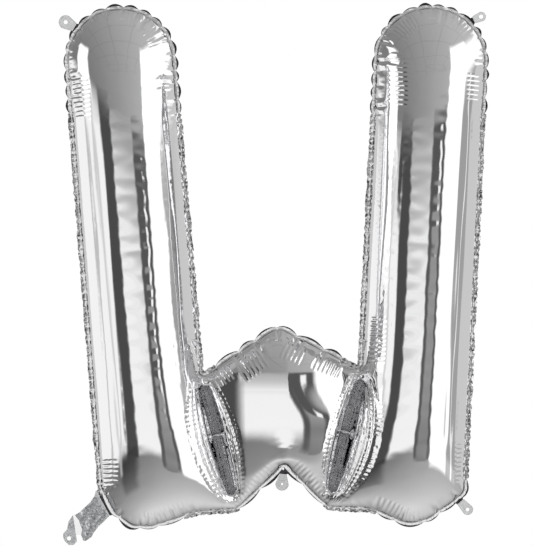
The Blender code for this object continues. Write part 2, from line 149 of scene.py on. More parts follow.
# %% Studio cards
# Columns: left, right, bottom, top, softness of the sides, softness of the top and bottom, in degrees, then
# brightness at the foot and at the head, 0 black to 1 white
STUDIO_CARDS = (
    (-200, 200, -90, -15, 1, 3, 0.88, 0.54),     # the floor, darker away from the lamps
    (-200, 200, 8, 90, 1, 3, 0.61, 0.66),        # the ceiling
    (-29, 12, -15, 1, 2, 3, 0.98, 0.97),         # the pale screen behind the camera
    (-29, 12, 0.2, 3.5, 2, 0.3, 0.97, 0.78),     # which fades into the ceiling
    (-29, 12, 3.5, 9, 2, 0.3, 0.78, 0.62),
    (-137, -53, -17, 5, 3, 2, 0.98, 0.98),       # the long soft box on the left
    (-96, -66, 4, 29, 2, 2, 1.20, 1.20),         # its raised end
    (-52, -30, -18, 9, 3, 3, 0.30, 0.30),        # the dark gap beside it
    (-70, -34, -42, -16, 8, 4, 0.56, 0.34),      # and its shadow on the floor
    (12, 36, -22, 9, 2, 3, 0.34, 0.34),          # the dark gap on the right
    (17, 31, -24, 2, 2, 1, 0.44, 0.60),          # a grey door in that gap
    (25, 30, 2, 6, 1, 1, 1.00, 1.00),            # and the lit slot above the door
    (37, 74, -24, 36, 2, 3, 1.05, 1.05),         # the tall soft box on the right
    (72, 150, 9, 34, 3, 4, 0.93, 0.93),          # the bright wall over it
    (75, 101, -24, 7, 2, 3, 0.66, 0.62),         # a grey flat behind that box
    (86, 90, -24, 7, 1, 2, 0.95, 0.95),          # a slit between two flats
    (-72, -66, -24, 7, 3, 2, 0.82, 0.82),        # thin stands in front of the left soft box
    (-94, -88, -24, 7, 3, 2, 0.76, 0.76),
)
WALL_BRIGHTNESS = 0.80
SIDE_LIGHT = 0.14                            # how much brighter floor and ceiling are towards the right
BELT = (-15.0, 9.0)                          # heights between floor and ceiling, in degrees
TILE = 0.62                                  # the ceiling's tiles, as seen in the domes
TILE_LINE = 0.022
TILE_DARKNESS = 0.07
EYE_TO_LIGHT = 2.2

world = bpy.data.worlds.new("studio")
scene.world = world
world.use_nodes = True
room = world.node_tree
room.nodes.clear()
place = room.nodes.new("ShaderNodeTexCoord")
split = room.nodes.new("ShaderNodeSeparateXYZ")
room.links.new(place.outputs["Generated"], split.inputs[0])
x_way, y_way, z_way = split.outputs
towards = sum_node(room, "MULTIPLY", y_way, -1.0)
bearing = sum_node(room, "MULTIPLY", sum_node(room, "ARCTAN2", x_way, towards), math.degrees(1))
height = sum_node(room, "MULTIPLY", sum_node(room, "ARCSINE", z_way), math.degrees(1))
level = None
for card in STUDIO_CARDS:
    piece = room.nodes.new("ShaderNodeGroup")
    piece.node_tree = card_group
    room.links.new(bearing, piece.inputs["Bearing"])
    room.links.new(height, piece.inputs["Height"])
    for name, value in zip(CARD_VALUES, card):
        piece.inputs[name].default_value = value
    blend = room.nodes.new("ShaderNodeMix")
    room.links.new(piece.outputs["Mask"], blend.inputs["Factor"])
    if level is None:
        blend.inputs["A"].default_value = WALL_BRIGHTNESS
    else:
        room.links.new(level, blend.inputs["A"])
    room.links.new(piece.outputs["Level"], blend.inputs["B"])
    level = blend.outputs["Result"]
over_belt = soft_step(room, height, BELT[1], 2.0)
under_belt = sum_node(room, "SUBTRACT", 1.0, soft_step(room, height, BELT[0], 2.0))
sidewards = sum_node(room, "MULTIPLY", sum_node(room, "ADD", over_belt, under_belt), x_way)
level = sum_node(room, "ADD", level, sum_node(room, "MULTIPLY", sidewards, SIDE_LIGHT))
print("cards in the studio:", len(STUDIO_CARDS))

# %% Ceiling tiles and white backdrop
rise = sum_node(room, "MAXIMUM", z_way, 0.05)
joints = []
for way in (x_way, y_way):
    along = sum_node(room, "DIVIDE", way, rise)
    part = sum_node(room, "FRACT", sum_node(room, "DIVIDE", along, TILE))
    off = sum_node(room, "ABSOLUTE", sum_node(room, "SUBTRACT", part, 0.5))
    joints.append(sum_node(room, "LESS_THAN", off, TILE_LINE))
joint = sum_node(room, "MAXIMUM", joints[0], joints[1])
ceiling_only = sum_node(room, "MULTIPLY", joint, sum_node(room, "GREATER_THAN", height, 22.0))
dimming = sum_node(room, "SUBTRACT", 1.0, sum_node(room, "MULTIPLY", ceiling_only, TILE_DARKNESS))
tiled = sum_node(room, "POWER", sum_node(room, "MULTIPLY", level, dimming), EYE_TO_LIGHT)
seen = room.nodes.new("ShaderNodeLightPath")
shown = room.nodes.new("ShaderNodeMix")
room.links.new(seen.outputs["Is Camera Ray"], shown.inputs["Factor"])
room.links.new(tiled, shown.inputs["A"])
shown.inputs["B"].default_value = 1.0
glow = room.nodes.new("ShaderNodeBackground")
room.links.new(shown.outputs["Result"], glow.inputs["Color"])
end = room.nodes.new("ShaderNodeOutputWorld")
room.links.new(glow.outputs[0], end.inputs["Surface"])
print("studio nodes:", len(room.nodes))

# %% [markdown]
# ## Floor and light
# The letter is shot on a white sweep. A pale round floor well below it catches a soft shadow in the high views
# and stays out of the straight one. The lamp is hidden from the mirror, which already sees its own soft boxes.

# %% Floor and light
FLOOR_DROP = 0.78
FLOOR_RADIUS = 1.1

floor_mesh = bpy.data.meshes.new("floor")
ring = [(FLOOR_RADIUS * math.cos(a), FLOOR_RADIUS * math.sin(a), -FLOOR_DROP)
        for a in np.linspace(0, 2 * math.pi, 97)[:-1]]
floor_mesh.from_pydata(ring, [], [list(range(len(ring)))])
floor = bpy.data.objects.new("floor", floor_mesh)
scene.collection.objects.link(floor)
floor.visible_glossy = False
floor_paint = bpy.data.materials.new("floor_paint")
floor_paint.use_nodes = True
floor_shader = floor_paint.node_tree.nodes["Principled BSDF"]
floor_shader.inputs["Base Color"].default_value = (0.86, 0.86, 0.86, 1)
floor_shader.inputs["Roughness"].default_value = 0.8
floor_mesh.materials.append(floor_paint)
floor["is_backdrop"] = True

lamp = bpy.data.objects.new("soft_lamp", bpy.data.lights.new("soft_lamp", "AREA"))
scene.collection.objects.link(lamp)
lamp.data.size = 1.6
lamp.data.energy = 25
lamp.location = (0.8, -1.6, 2.2)
lamp.rotation_euler = Vector((0.8, -1.6, 2.2)).to_track_quat("Z", "Y").to_euler()
lamp.visible_glossy = False
print("floor", FLOOR_DROP, "m below the letter's middle")

# %% [markdown]
# ## The weld line
# Both sheets are welded along one line, the outline of the filled tubes. It is written as corners with a radius,
# because a cutter's die is drawn that way. A foil letter shrinks as it fills: a flat leg 0.28 m wide becomes a
# tube 0.19 m across. So each corner also says how far out it lay on the flat sheet, before the air went in.

# %% Weld line
# Columns: x, z, corner radius, then how much further out the corner lay when flat, in x and z, millimetres
WELD_CORNERS = (
    (14.9, -326.7, 3.0, 0, -14),        # notch under the middle stroke
    (87.5, -397.7, 4.0, 22, -14),       # right foot of the middle stroke
    (165.0, -401.0, 90.0, 56, -30),
    (229.4, -432.3, 60.0, 86, -40),     # lowest point of the right leg
    (311.0, -375.0, 22.0, 111, -30),
    (350.0, 425.7, 88.0, 118, 40),      # right leg, top outer corner
    (171.2, 425.7, 88.0, 34, 40),
    (141.1, -171.6, 7.0, 26, 0),        # right notch
    (3.3, -102.3, 16.0, 0, 22),         # peak of the middle stroke
    (-122.9, -184.8, 7.0, -26, 0),      # left notch
    (-175.9, 424.1, 86.0, -34, 40),
    (-350.0, 424.1, 86.0, -118, 40),    # left leg, top outer corner
    (-288.0, -366.3, 16.0, -116, -15),  # above the fill tail
    (-265.7, -407.6, 20.0, -111, -28),
    (-234.3, -429.0, 24.0, -96, -38),
    (-201.3, -428.2, 50.0, -81, -40),   # lowest point of the left leg
    (-132.0, -405.9, 80.0, -51, -30),
    (-64.4, -401.0, 4.0, -22, -14),     # left foot of the middle stroke
)
# Inner weld strips. Columns: x and z of the top end, x and z of the bottom end, then the flat sheet's extra
# at each end in the same order, millimetres
WELD_STRIPS = (
    (-115.5, -206.0, -96.5, -270.0, -26, 0, -26, -3),
    (-94.5, -287.0, -73.5, -368.0, -26, -5, -26, -12),
    (138.0, -197.0, 118.5, -263.5, 26, 0, 26, -3),
    (113.0, -284.0, 94.5, -363.0, 26, -5, 26, -12),
)
STRIP_HALF_WIDTH = 4.5 * MM


def rounded_line(corners, step):
    """The closed line through the corners: points, and how much further out each lay when flat."""
    places = [np.array(c[:2]) * MM for c in corners]
    extras = [np.array(c[3:5]) * MM for c in corners]
    points, extra = [], []
    for i, here in enumerate(places):
        after = (i + 1) % len(places)
        back, on = places[i - 1] - here, places[after] - here
        back_length, on_length = np.linalg.norm(back), np.linalg.norm(on)
        back, on = back / back_length, on / on_length
        half = math.acos(np.clip(back @ on, -1, 1)) / 2
        radius = corners[i][2] * MM
        centre = here + (back + on) / np.linalg.norm(back + on) * radius / math.sin(half)
        reach = radius / math.tan(half)
        first, last = here + back * reach - centre, here + on * reach - centre
        turn = math.atan2(first[0] * last[1] - first[1] * last[0], first @ last)
        count = max(2, round(abs(turn) * radius / step))
        for k in range(count + 1):
            c, s = math.cos(turn * k / count), math.sin(turn * k / count)
            points.append(centre + np.array([c * first[0] - s * first[1], s * first[0] + c * first[1]]))
            away = k / count - 0.5
            other = i - 1 if away < 0 else after
            weight = abs(away) * 2 * reach / (back_length if away < 0 else on_length)
            extra.append(extras[i] * (1 - weight) + extras[other] * weight)
    return np.array(points), np.array(extra)


def evenly_spaced(points, extra, step):
    """More points on the straight runs, and fewer where they crowd."""
    many, more = [], []
    for i in range(len(points)):
        j = (i + 1) % len(points)
        count = max(1, round(np.linalg.norm(points[j] - points[i]) / step))
        for k in range(count):
            many.append(points[i] + (points[j] - points[i]) * k / count)
            more.append(extra[i] + (extra[j] - extra[i]) * k / count)
    kept = [0]
    for i in range(1, len(many)):
        if np.linalg.norm(many[i] - many[kept[-1]]) > 0.45 * step:
            kept.append(i)
    return np.array(many)[kept], np.array(more)[kept]


def strip_line(row, step):
    """The outline of one weld strip, with round ends, and its extra when flat."""
    top, bottom, top_extra, bottom_extra = (np.array(row[k:k + 2]) * MM for k in (0, 2, 4, 6))
    length = np.linalg.norm(bottom - top)
    along = (bottom - top) / length
    side = np.array([-along[1], along[0]])
    count = max(2, round(length / step))
    points, extra = [], []
    for k in range(count + 1):
        points.append(top + along * length * k / count - side * STRIP_HALF_WIDTH)
        extra.append(top_extra + (bottom_extra - top_extra) * k / count)
    for angle in (-45, 0, 45):
        a = math.radians(angle)
        points.append(bottom + STRIP_HALF_WIDTH * (math.cos(a) * along + math.sin(a) * side))
        extra.append(bottom_extra)
    for k in range(count + 1):
        points.append(bottom - along * length * k / count + side * STRIP_HALF_WIDTH)
        extra.append(bottom_extra + (top_extra - bottom_extra) * k / count)
    for angle in (135, 180, 225):
        a = math.radians(angle)
        points.append(top + STRIP_HALF_WIDTH * (math.cos(a) * along + math.sin(a) * side))
        extra.append(top_extra)
    return np.array(points), np.array(extra)


MESH_SIZE = 1.15                             # 1 gives a finer mesh
RIM_STEP = 4.5 * MM * MESH_SIZE
weld, weld_extra = evenly_spaced(*rounded_line(WELD_CORNERS, RIM_STEP), RIM_STEP)
strips = [strip_line(row, RIM_STEP) for row in WELD_STRIPS]
loops = [weld] + [s[0] for s in strips]
loop_extra = np.concatenate([weld_extra] + [s[1] for s in strips])
print("weld line:", len(weld), "points,", round(float(np.linalg.norm(np.roll(weld, -1, 0) - weld, axis=1).sum()), 2),
      "m long")

# %% [markdown]
# ## The flat sheet
# A film that wrinkles near its seams and is smooth in the middle wants small triangles near the seams and large
# ones in the middle. Rows of points follow the weld line inwards, each row wider spaced than the last, and a
# Delaunay triangulation joins them.

# %% Flat sheet
# Columns: distance in from the weld, spacing along it, millimetres
POINT_ROWS = ((4, 4.5), (8.5, 5), (13.5, 5.5), (19.5, 6.5), (26.5, 7.5), (35, 9), (45, 10.5), (57, 12))
LATTICE_STEP = 13 * MM * MESH_SIZE
LATTICE_DEPTH = 69 * MM * MESH_SIZE


def outward(line):
    along = np.roll(line, -1, 0) - np.roll(line, 1, 0)
    out = np.stack([along[:, 1], -along[:, 0]], 1)
    return out / np.linalg.norm(out, axis=1)[:, None]


def distance_to(line, points):
    nearest = np.full(len(points), 9.0)
    for a, b in zip(line, np.roll(line, -1, 0)):
        t = np.clip((points - a) @ (b - a) / ((b - a) @ (b - a)), 0, 1)
        nearest = np.minimum(nearest, np.linalg.norm(points - a - t[:, None] * (b - a), axis=1))
    return nearest


def is_inside(line, points):
    inside = np.zeros(len(points), bool)
    for a, b in zip(line, np.roll(line, -1, 0)):
        if a[1] != b[1]:
            crossing = (b[0] - a[0]) * (points[:, 1] - a[1]) / (b[1] - a[1]) + a[0]
            inside ^= ((a[1] > points[:, 1]) != (b[1] > points[:, 1])) & (points[:, 0] < crossing)
    return inside


def is_film(points):
    """Inside the weld line and outside every strip."""
    film = is_inside(weld, points)
    for line in loops[1:]:
        film &= ~is_inside(line, points)
    return film


rows = []
for depth, step in POINT_ROWS:
    depth, step = depth * MM * MESH_SIZE, step * MM * MESH_SIZE
    lines = [weld - depth * outward(weld)] + [line + depth * outward(line) for line in loops[1:]]
    rows.append((np.concatenate(lines), depth, step))
low, high = weld.min(0), weld.max(0)
lattice = [(x + (k % 2) * LATTICE_STEP / 2, z)
           for k, z in enumerate(np.arange(low[1], high[1], LATTICE_STEP * 0.866))
           for x in np.arange(low[0], high[0], LATTICE_STEP)]
rows.append((np.array(lattice), LATTICE_DEPTH, LATTICE_STEP))
kept = np.zeros((30000, 2))
count = 0
for points, depth, step in rows:
    points = points[is_film(points)]
    points = points[np.min([distance_to(line, points) for line in loops], 0) > 0.93 * depth]
    for p in points:
        if count == 0 or ((kept[:count] - p) ** 2).sum(1).min() > (0.7 * step) ** 2:
            kept[count] = p
            count += 1
rim_count = sum(len(line) for line in loops)
starts = np.cumsum([0] + [len(line) for line in loops])
rim_edges = [(int(s) + i, int(s) + (i + 1) % len(line)) for s, line in zip(starts, loops) for i in range(len(line))]
corners = [Vector(p) for line in loops for p in line] + [Vector(p) for p in kept[:count]]
flat, _, faces, *_ = delaunay_2d_cdt(corners, rim_edges, [], 1, 1e-7)
flat, faces = np.array([tuple(p) for p in flat]), np.array([tuple(f) for f in faces])
faces = faces[is_film(flat[faces].mean(1))]
print("flat sheet:", len(flat), "points,", len(faces), "triangles,", round(time.time() - started, 1), "s")

# %% [markdown]
# ## First guess of the bulge, and the flat cut
# A soap film on the weld line already has nearly the right form: its square root gives a round tube. The same
# sparse equations spread the rim's extra over the sheet, which gives the sheet's shape as it lay flat. They are
# solved here by conjugate gradients, which needs no more than numpy.

# %% Bulge and cut
def stiffness(points, triangles):
    """The cotangent matrix as rows, columns and values, and each point's share of the area."""
    a, b, c = (points[triangles[:, k]] for k in range(3))
    edges = (c - b, a - c, b - a)
    area = np.abs(np.cross(b - a, c - a)) / 2
    row = np.concatenate([triangles[:, i] for i in range(3) for j in range(3)])
    column = np.concatenate([triangles[:, j] for i in range(3) for j in range(3)])
    value = np.concatenate([(edges[i] * edges[j]).sum(1) / (4 * area) for i in range(3) for j in range(3)])
    return row, column, value, np.bincount(triangles.ravel(), np.repeat(area / 3, 3), len(points))


row, column, value, share = stiffness(flat, faces)
diagonal = np.bincount(row[row == column], value[row == column], len(flat))
free = np.arange(len(flat)) >= rim_count


def solved(load, rim_values):
    """The values on the sheet that balance the load, with the rim's values held."""
    x = np.zeros(len(flat))
    x[:rim_count] = rim_values
    rest = (load - np.bincount(row, value * x[column], len(flat))) * free
    step = rest / diagonal
    score = rest @ step
    for _ in range(2000):
        push = np.bincount(row, value * step[column], len(flat)) * free
        size = score / (step @ push)
        x, rest = x + size * step, rest - size * push
        better = rest @ (rest / diagonal)
        if better < 1e-16:
            break
        step, score = rest / diagonal + better / score * step, better
    return x


bulge = np.sqrt(np.maximum(solved(2 * share, 0.0), 0))
nothing = np.zeros(len(flat))
cut = flat + np.stack([solved(nothing, loop_extra[:, k]) for k in (0, 1)], 1)
print("deepest point:", round(float(bulge.max()), 4), "m,", round(time.time() - started, 1), "s")

# %% [markdown]
# ## Blowing it up
# Blender's Cloth does the rest. The sheet starts near its final form, remembers the larger flat cut as its shape
# at rest, and is held along the weld line, so air pressure gathers the spare film into puckers at every curved
# seam, as on the real balloon. Twenty frames settle it. The result is read back and no Cloth is left.

# %% Cloth under pressure
SETTLING_FRAMES = 20
random = np.random.default_rng(4)
front = np.stack([flat[:, 0], -0.97 * bulge + (random.random(len(flat)) - 0.5) * 1.5 * MM * free, flat[:, 1]], 1)


def blown_up(points, triangles, flat_cut):
    """The sheet's points after it has been filled."""
    mesh = bpy.data.meshes.new("film")
    mesh.from_pydata(points.tolist(), [], triangles.tolist())
    if mesh.polygons[0].normal[1] > 0:
        mesh.flip_normals()
    film = bpy.data.objects.new("film", mesh)
    scene.collection.objects.link(film)
    film.shape_key_add(name="Basis")
    key = film.shape_key_add(name="cut")
    key.data.foreach_set("co", np.stack([flat_cut[:, 0], np.zeros(len(flat_cut)), flat_cut[:, 1]], 1).ravel())
    key.value = 0
    weld_group = film.vertex_groups.new(name="weld")
    weld_group.add(list(range(rim_count)), 1.0, "REPLACE")
    cloth = film.modifiers.new("filling", "CLOTH")
    settings = cloth.settings
    settings.rest_shape_key = key
    settings.vertex_group_mass = "weld"
    settings.pin_stiffness = 50
    settings.quality = 6
    settings.mass = 0.05
    settings.tension_stiffness = 40
    settings.compression_stiffness = 15
    settings.shear_stiffness = 15
    settings.bending_stiffness = 0.05
    settings.tension_damping = settings.compression_damping = settings.shear_damping = 5
    settings.bending_damping = 0.5
    settings.air_damping = 2
    settings.use_pressure = True
    settings.uniform_pressure_force = 5
    settings.effector_weights.gravity = 0
    cloth.collision_settings.use_collision = False
    cloth.collision_settings.use_self_collision = False
    cloth.point_cache.frame_end = SETTLING_FRAMES
    for number in range(1, SETTLING_FRAMES + 1):
        scene.frame_set(number)
    done = film.evaluated_get(bpy.context.evaluated_depsgraph_get())
    filled = np.zeros(len(points) * 3, np.float32)
    done.data.vertices.foreach_get("co", filled)
    bpy.data.objects.remove(film)
    bpy.data.meshes.remove(mesh)
    scene.frame_set(1)
    return filled.reshape(-1, 3).astype(float)


front = blown_up(front, faces, cut)
print("filled sheet from", front.min(0).round(3), "to", front.max(0).round(3), round(time.time() - started, 1), "s")

# %% [markdown]
# ## Ironing the middle
# Away from the seams real film is stretched so tight that its reflections run dead straight, and a mesh of this
# size can't reach that. The soap film of the first guess is perfectly smooth, so only the difference between it
# and the filled sheet is smoothed, over and over: the waves go, and the tube keeps its radius. The ironing fades
# out near the welds, where the wrinkles belong, and reaches nearly to the weld on the legs' straight sides.

# %% Ironing
IRONING_PASSES = 400
IRON_START, IRON_FULL = 10 * MM, 32 * MM
STRAIGHT_START, STRAIGHT_FULL = 3 * MM, 13 * MM

neighbours = np.unique(np.sort(np.concatenate([faces[:, (0, 1)], faces[:, (1, 2)], faces[:, (2, 0)]]), 1), axis=0)
valence = np.bincount(neighbours.ravel(), minlength=len(flat))[:, None]
from_seam = np.min([distance_to(line, flat) for line in loops], 0)


def smooth_step(x, start, end):
    t = np.clip((x - start) / (end - start), 0, 1)
    return t * t * (3 - 2 * t)


def ironed(values, strength, passes):
    """values with each point drawn towards the mean of its neighbours, again and again."""
    for _ in range(passes):
        around = np.stack([np.bincount(neighbours.ravel(), values[neighbours[:, ::-1].ravel(), k], len(flat))
                           for k in range(3)], 1)
        values = values + 0.5 * strength * (around / valence - values)
    return values


def on_straight_side(x, z):
    """1 beside the long straight sides of the legs, 0 round the domes, the bottoms and the middle stroke."""
    upright = smooth_step(z, -310 * MM, -270 * MM) * (1 - smooth_step(z, 230 * MM, 270 * MM))
    middle = smooth_step(x, -165 * MM, -145 * MM) * (1 - smooth_step(x, 150 * MM, 170 * MM))
    return upright * (1 - middle * (1 - smooth_step(z, -90 * MM, -50 * MM)))


soap_film = np.stack([flat[:, 0], -bulge, flat[:, 1]], 1)
straight = on_straight_side(flat[:, 0], flat[:, 1])
iron_start = IRON_START + straight * (STRAIGHT_START - IRON_START)
iron_full = IRON_FULL + straight * (STRAIGHT_FULL - IRON_FULL)
tight = smooth_step(from_seam, iron_start, iron_full)[:, None]
change = ironed(front - soap_film, tight, IRONING_PASSES)
print("ironed", int((tight > 0.5).sum()), "points")

# %% [markdown]
# ## Trueing the legs
# Waves as long as a hand are left along the legs, too long to iron out, and a mirror still shows them as smudges.
# A full leg is the same all the way down, so there the change from the soap film is fitted by a low polynomial,
# of the sixth power across the leg and the second along it, and the fit takes its place away from the seams.

# %% True legs
# Columns: x of the outer side at the top and at the bottom, the same for the inner side, millimetres
LEG_SIDES = ((-350.0, -288.0, -175.9, -107.1), (350.0, 311.0, 171.2, 130.9))
LEG_TOP, LEG_LOW = 425.0 * MM, -370.0 * MM
TRUE_TOP, TRUE_LOW = 260 * MM, -300 * MM     # the fit is used between these heights
TRUE_FADE = 60 * MM
TRUE_START, TRUE_FULL = 14 * MM, 32 * MM     # and from this far inside the seams
ACROSS_POWERS, ALONG_POWERS = range(7), range(3)

falling = (LEG_TOP - flat[:, 1]) / (LEG_TOP - LEG_LOW)
lengthwise = (2 * flat[:, 1] - TRUE_TOP - TRUE_LOW) / (TRUE_TOP - TRUE_LOW)
for outer_top, outer_low, inner_top, inner_low in np.array(LEG_SIDES) * MM:
    outer_x = outer_top + (outer_low - outer_top) * falling
    inner_x = inner_top + (inner_low - inner_top) * falling
    crosswise = 2 * (flat[:, 0] - outer_x) / (inner_x - outer_x) - 1
    leg = (np.abs(crosswise) < 1) & (np.abs(lengthwise) < 1)
    terms = np.stack([crosswise ** m * lengthwise ** n for m in ACROSS_POWERS for n in ALONG_POWERS], 1)
    used = leg & (from_seam > TRUE_START)
    fit = np.linalg.lstsq(terms[used], change[used], rcond=None)[0]
    share_fitted = smooth_step(flat[:, 1], TRUE_LOW, TRUE_LOW + TRUE_FADE)
    share_fitted *= 1 - smooth_step(flat[:, 1], TRUE_TOP - TRUE_FADE, TRUE_TOP)
    share_fitted *= smooth_step(from_seam, TRUE_START, TRUE_FULL) * leg
    left_over = terms @ fit - change
    print("waves taken out of a leg:", round(float(np.abs(left_over[used]).max()) / MM, 1), "mm at most")
    change = change + share_fitted[:, None] * left_over
front = soap_film + change

# %% [markdown]
# ## Finer triangles
# A mirror shows every flat facet, so the filled sheet is refined twice by Loop's rule, which splits each
# triangle in four and smooths as it goes. A Subdivision Surface modifier would make six from one.

# %% Loop refinement
def refined(points, triangles, smooth):
    """Each triangle split in four. smooth follows Loop's weights, and otherwise points stay in line."""
    total = len(points)
    a, b = triangles.ravel(), np.roll(triangles, -1, 1).ravel()
    opposite = np.roll(triangles, -2, 1).ravel()
    keys, which, times = np.unique(np.minimum(a, b) * total + np.maximum(a, b),
                                   return_inverse=True, return_counts=True)
    ends = np.stack([keys // total, keys % total], 1)
    middle = points[ends].mean(1)
    moved = points.copy()
    if smooth:
        wings = np.stack([np.bincount(which, points[opposite, k], len(keys)) for k in range(points.shape[1])], 1)
        inner = times == 2
        middle[inner] = 0.75 * middle[inner] + wings[inner] / 8
        around = np.stack([np.bincount(ends.ravel(), points[ends[:, ::-1].ravel(), k], total)
                           for k in range(points.shape[1])], 1)
        valence = np.bincount(ends.ravel(), minlength=total)
        share = np.where(valence > 3, 3 / (8 * np.maximum(valence, 1)), 3 / 16)[:, None]
        moved = (1 - valence[:, None] * share) * points + share * around
        moved[:rim_count] = points[:rim_count]
    new = which.reshape(-1, 3) + total
    quarters = [np.stack([triangles[:, k], new[:, k], new[:, k - 1]], 1) for k in range(3)] + [new]
    return np.vstack([moved, middle]), np.vstack(quarters)


fine_flat, fine_faces = flat, faces
for _ in range(2):
    front, same = refined(front, fine_faces, True)
    fine_flat, fine_faces = refined(fine_flat, fine_faces, False)
print("fine sheet:", len(fine_faces), "triangles,", round(time.time() - started, 1), "s")

# %% [markdown]
# ## Tapered legs and a flatter middle
# Two things that an even soap film can't know. The legs taper a little towards the domes, which draws the grey of
# the ceiling down them as a long soft fade. And the short middle stroke is pulled flat between the four inner
# welds. It has two broad facets there that meet in an upright ridge, so it shows one pale panel and one dark one.
# The facets are worked out as a cap, and the film follows whichever of the soap film and the cap lies lower.

# %% Taper of the legs
TAPER = 0.045                                # share of the depth that a leg has lost at its dome
TAPER_FROM, TAPER_TO = -100 * MM, 260 * MM
climb = np.clip((front[:, 2] - TAPER_FROM) / (TAPER_TO - TAPER_FROM), 0, 1.6)
front[:, 1] *= 1 - TAPER * climb ** 2
print("a leg loses up to", round(float(TAPER * 1.6 ** 2 * bulge.max()) / MM, 1), "mm of depth")

# %% Facets of the middle stroke
CAP_DEPTH = 60 * MM
RIDGE_X, CAP_MIDDLE_Z = 19 * MM, -214 * MM
LEFT_TILT, LEFT_RADIUS = 0.044, 360 * MM
RIGHT_TILT_TOP, RIGHT_TILT_LOW, RIGHT_RADIUS = 0.12, -0.03, 220 * MM
TILT_TOP_Z, TILT_LOW_Z = -185 * MM, -265 * MM
UPRIGHT_RADIUS = 550 * MM
BEND_Z, BEND_RADIUS = -176 * MM, 80 * MM     # the panels end in a quick bend up here
CAP_BLEND = 2.5 * MM                         # how softly the cap and the soap film meet
MIDDLE_TOP_Z, MIDDLE_LOW_Z = -168 * MM, -398 * MM
MIDDLE_LEFT, MIDDLE_RIGHT = (-126 * MM, -64 * MM), (139 * MM, 84.5 * MM)    # x at those two heights

to_left = np.maximum(RIDGE_X - front[:, 0], 0)
to_right = np.maximum(front[:, 0] - RIDGE_X, 0)
lowered = smooth_step(-front[:, 2], -TILT_TOP_Z, -TILT_LOW_Z)
right_tilt = RIGHT_TILT_TOP + (RIGHT_TILT_LOW - RIGHT_TILT_TOP) * lowered
cap = CAP_DEPTH - LEFT_TILT * to_left - to_left ** 2 / (2 * LEFT_RADIUS)
cap = cap - right_tilt * to_right - to_right ** 2 / (2 * RIGHT_RADIUS)
cap = cap - (front[:, 2] - CAP_MIDDLE_Z) ** 2 / (2 * UPRIGHT_RADIUS)
cap = cap - np.maximum(front[:, 2] - BEND_Z, 0) ** 2 / (2 * BEND_RADIUS)
lower = (MIDDLE_TOP_Z - fine_flat[:, 1]) / (MIDDLE_TOP_Z - MIDDLE_LOW_Z)
in_middle = (lower > -0.2) & (fine_flat[:, 0] > MIDDLE_LEFT[0] + (MIDDLE_LEFT[1] - MIDDLE_LEFT[0]) * lower)
in_middle &= fine_flat[:, 0] < MIDDLE_RIGHT[0] + (MIDDLE_RIGHT[1] - MIDDLE_RIGHT[0]) * lower
over = -front[:, 1] - cap
over = (np.sqrt(over ** 2 + CAP_BLEND ** 2) + over) / 2
front[in_middle, 1] += over[in_middle]
print("deepest in the middle:", round(float(-front[in_middle, 1].min()), 4), "m")

# %% [markdown]
# ## Where each point is along the seam
# The puckers and ripples are laid out by two numbers: how far round the weld line a point is, and how deep
# inside it. A k-d tree over closely spaced seam points gives both for every point of the fine sheet.

# %% Seam coordinates
SEAM_STEP = 0.6 * MM


def closely_spaced(line, step):
    """Points on the closed line, and how far round it each is."""
    ends = np.vstack([line, line[:1]])
    runs = np.linalg.norm(np.diff(ends, axis=0), axis=1)
    along = np.concatenate([[0], np.cumsum(runs)])
    place = np.arange(0, along[-1], step)
    return np.stack([np.interp(place, along, ends[:, k]) for k in (0, 1)], 1), place


seam_points, seam_place = closely_spaced(weld, SEAM_STEP)
SEAM_LENGTH = float(seam_place[-1] + SEAM_STEP)
seam_tree = kdtree.KDTree(len(seam_points))
for i, p in enumerate(seam_points):
    seam_tree.insert((p[0], 0, p[1]), i)
seam_tree.balance()
strip_tree = kdtree.KDTree(sum(len(line) for line in loops[1:]))
for i, p in enumerate(np.concatenate(loops[1:])):
    strip_tree.insert((p[0], 0, p[1]), i)
strip_tree.balance()


def on_seam(x, z):
    """(how far round the weld line, distance from it)."""
    _, i, away = seam_tree.find((x, 0, z))
    return seam_place[i], away


seam_coordinates = np.array([on_seam(x, z) for x, z in fine_flat])
round_seam, depth_in = seam_coordinates.T
strip_distance = np.array([strip_tree.find((x, 0, z))[2] for x, z in fine_flat])
print("seam length:", round(SEAM_LENGTH, 3), "m")

# %% [markdown]
# ## Puckers and ripples
# Where the weld curves outwards, spare film gathers into lobes with a sharp crease between each two. Beside them
# lie ladders of fine ripples, about 7.5 mm apart, that run square to the seam: the print of the hot weld bar as
# the film shortened. Both are pushed into the fine mesh along its normals, from two short tables.

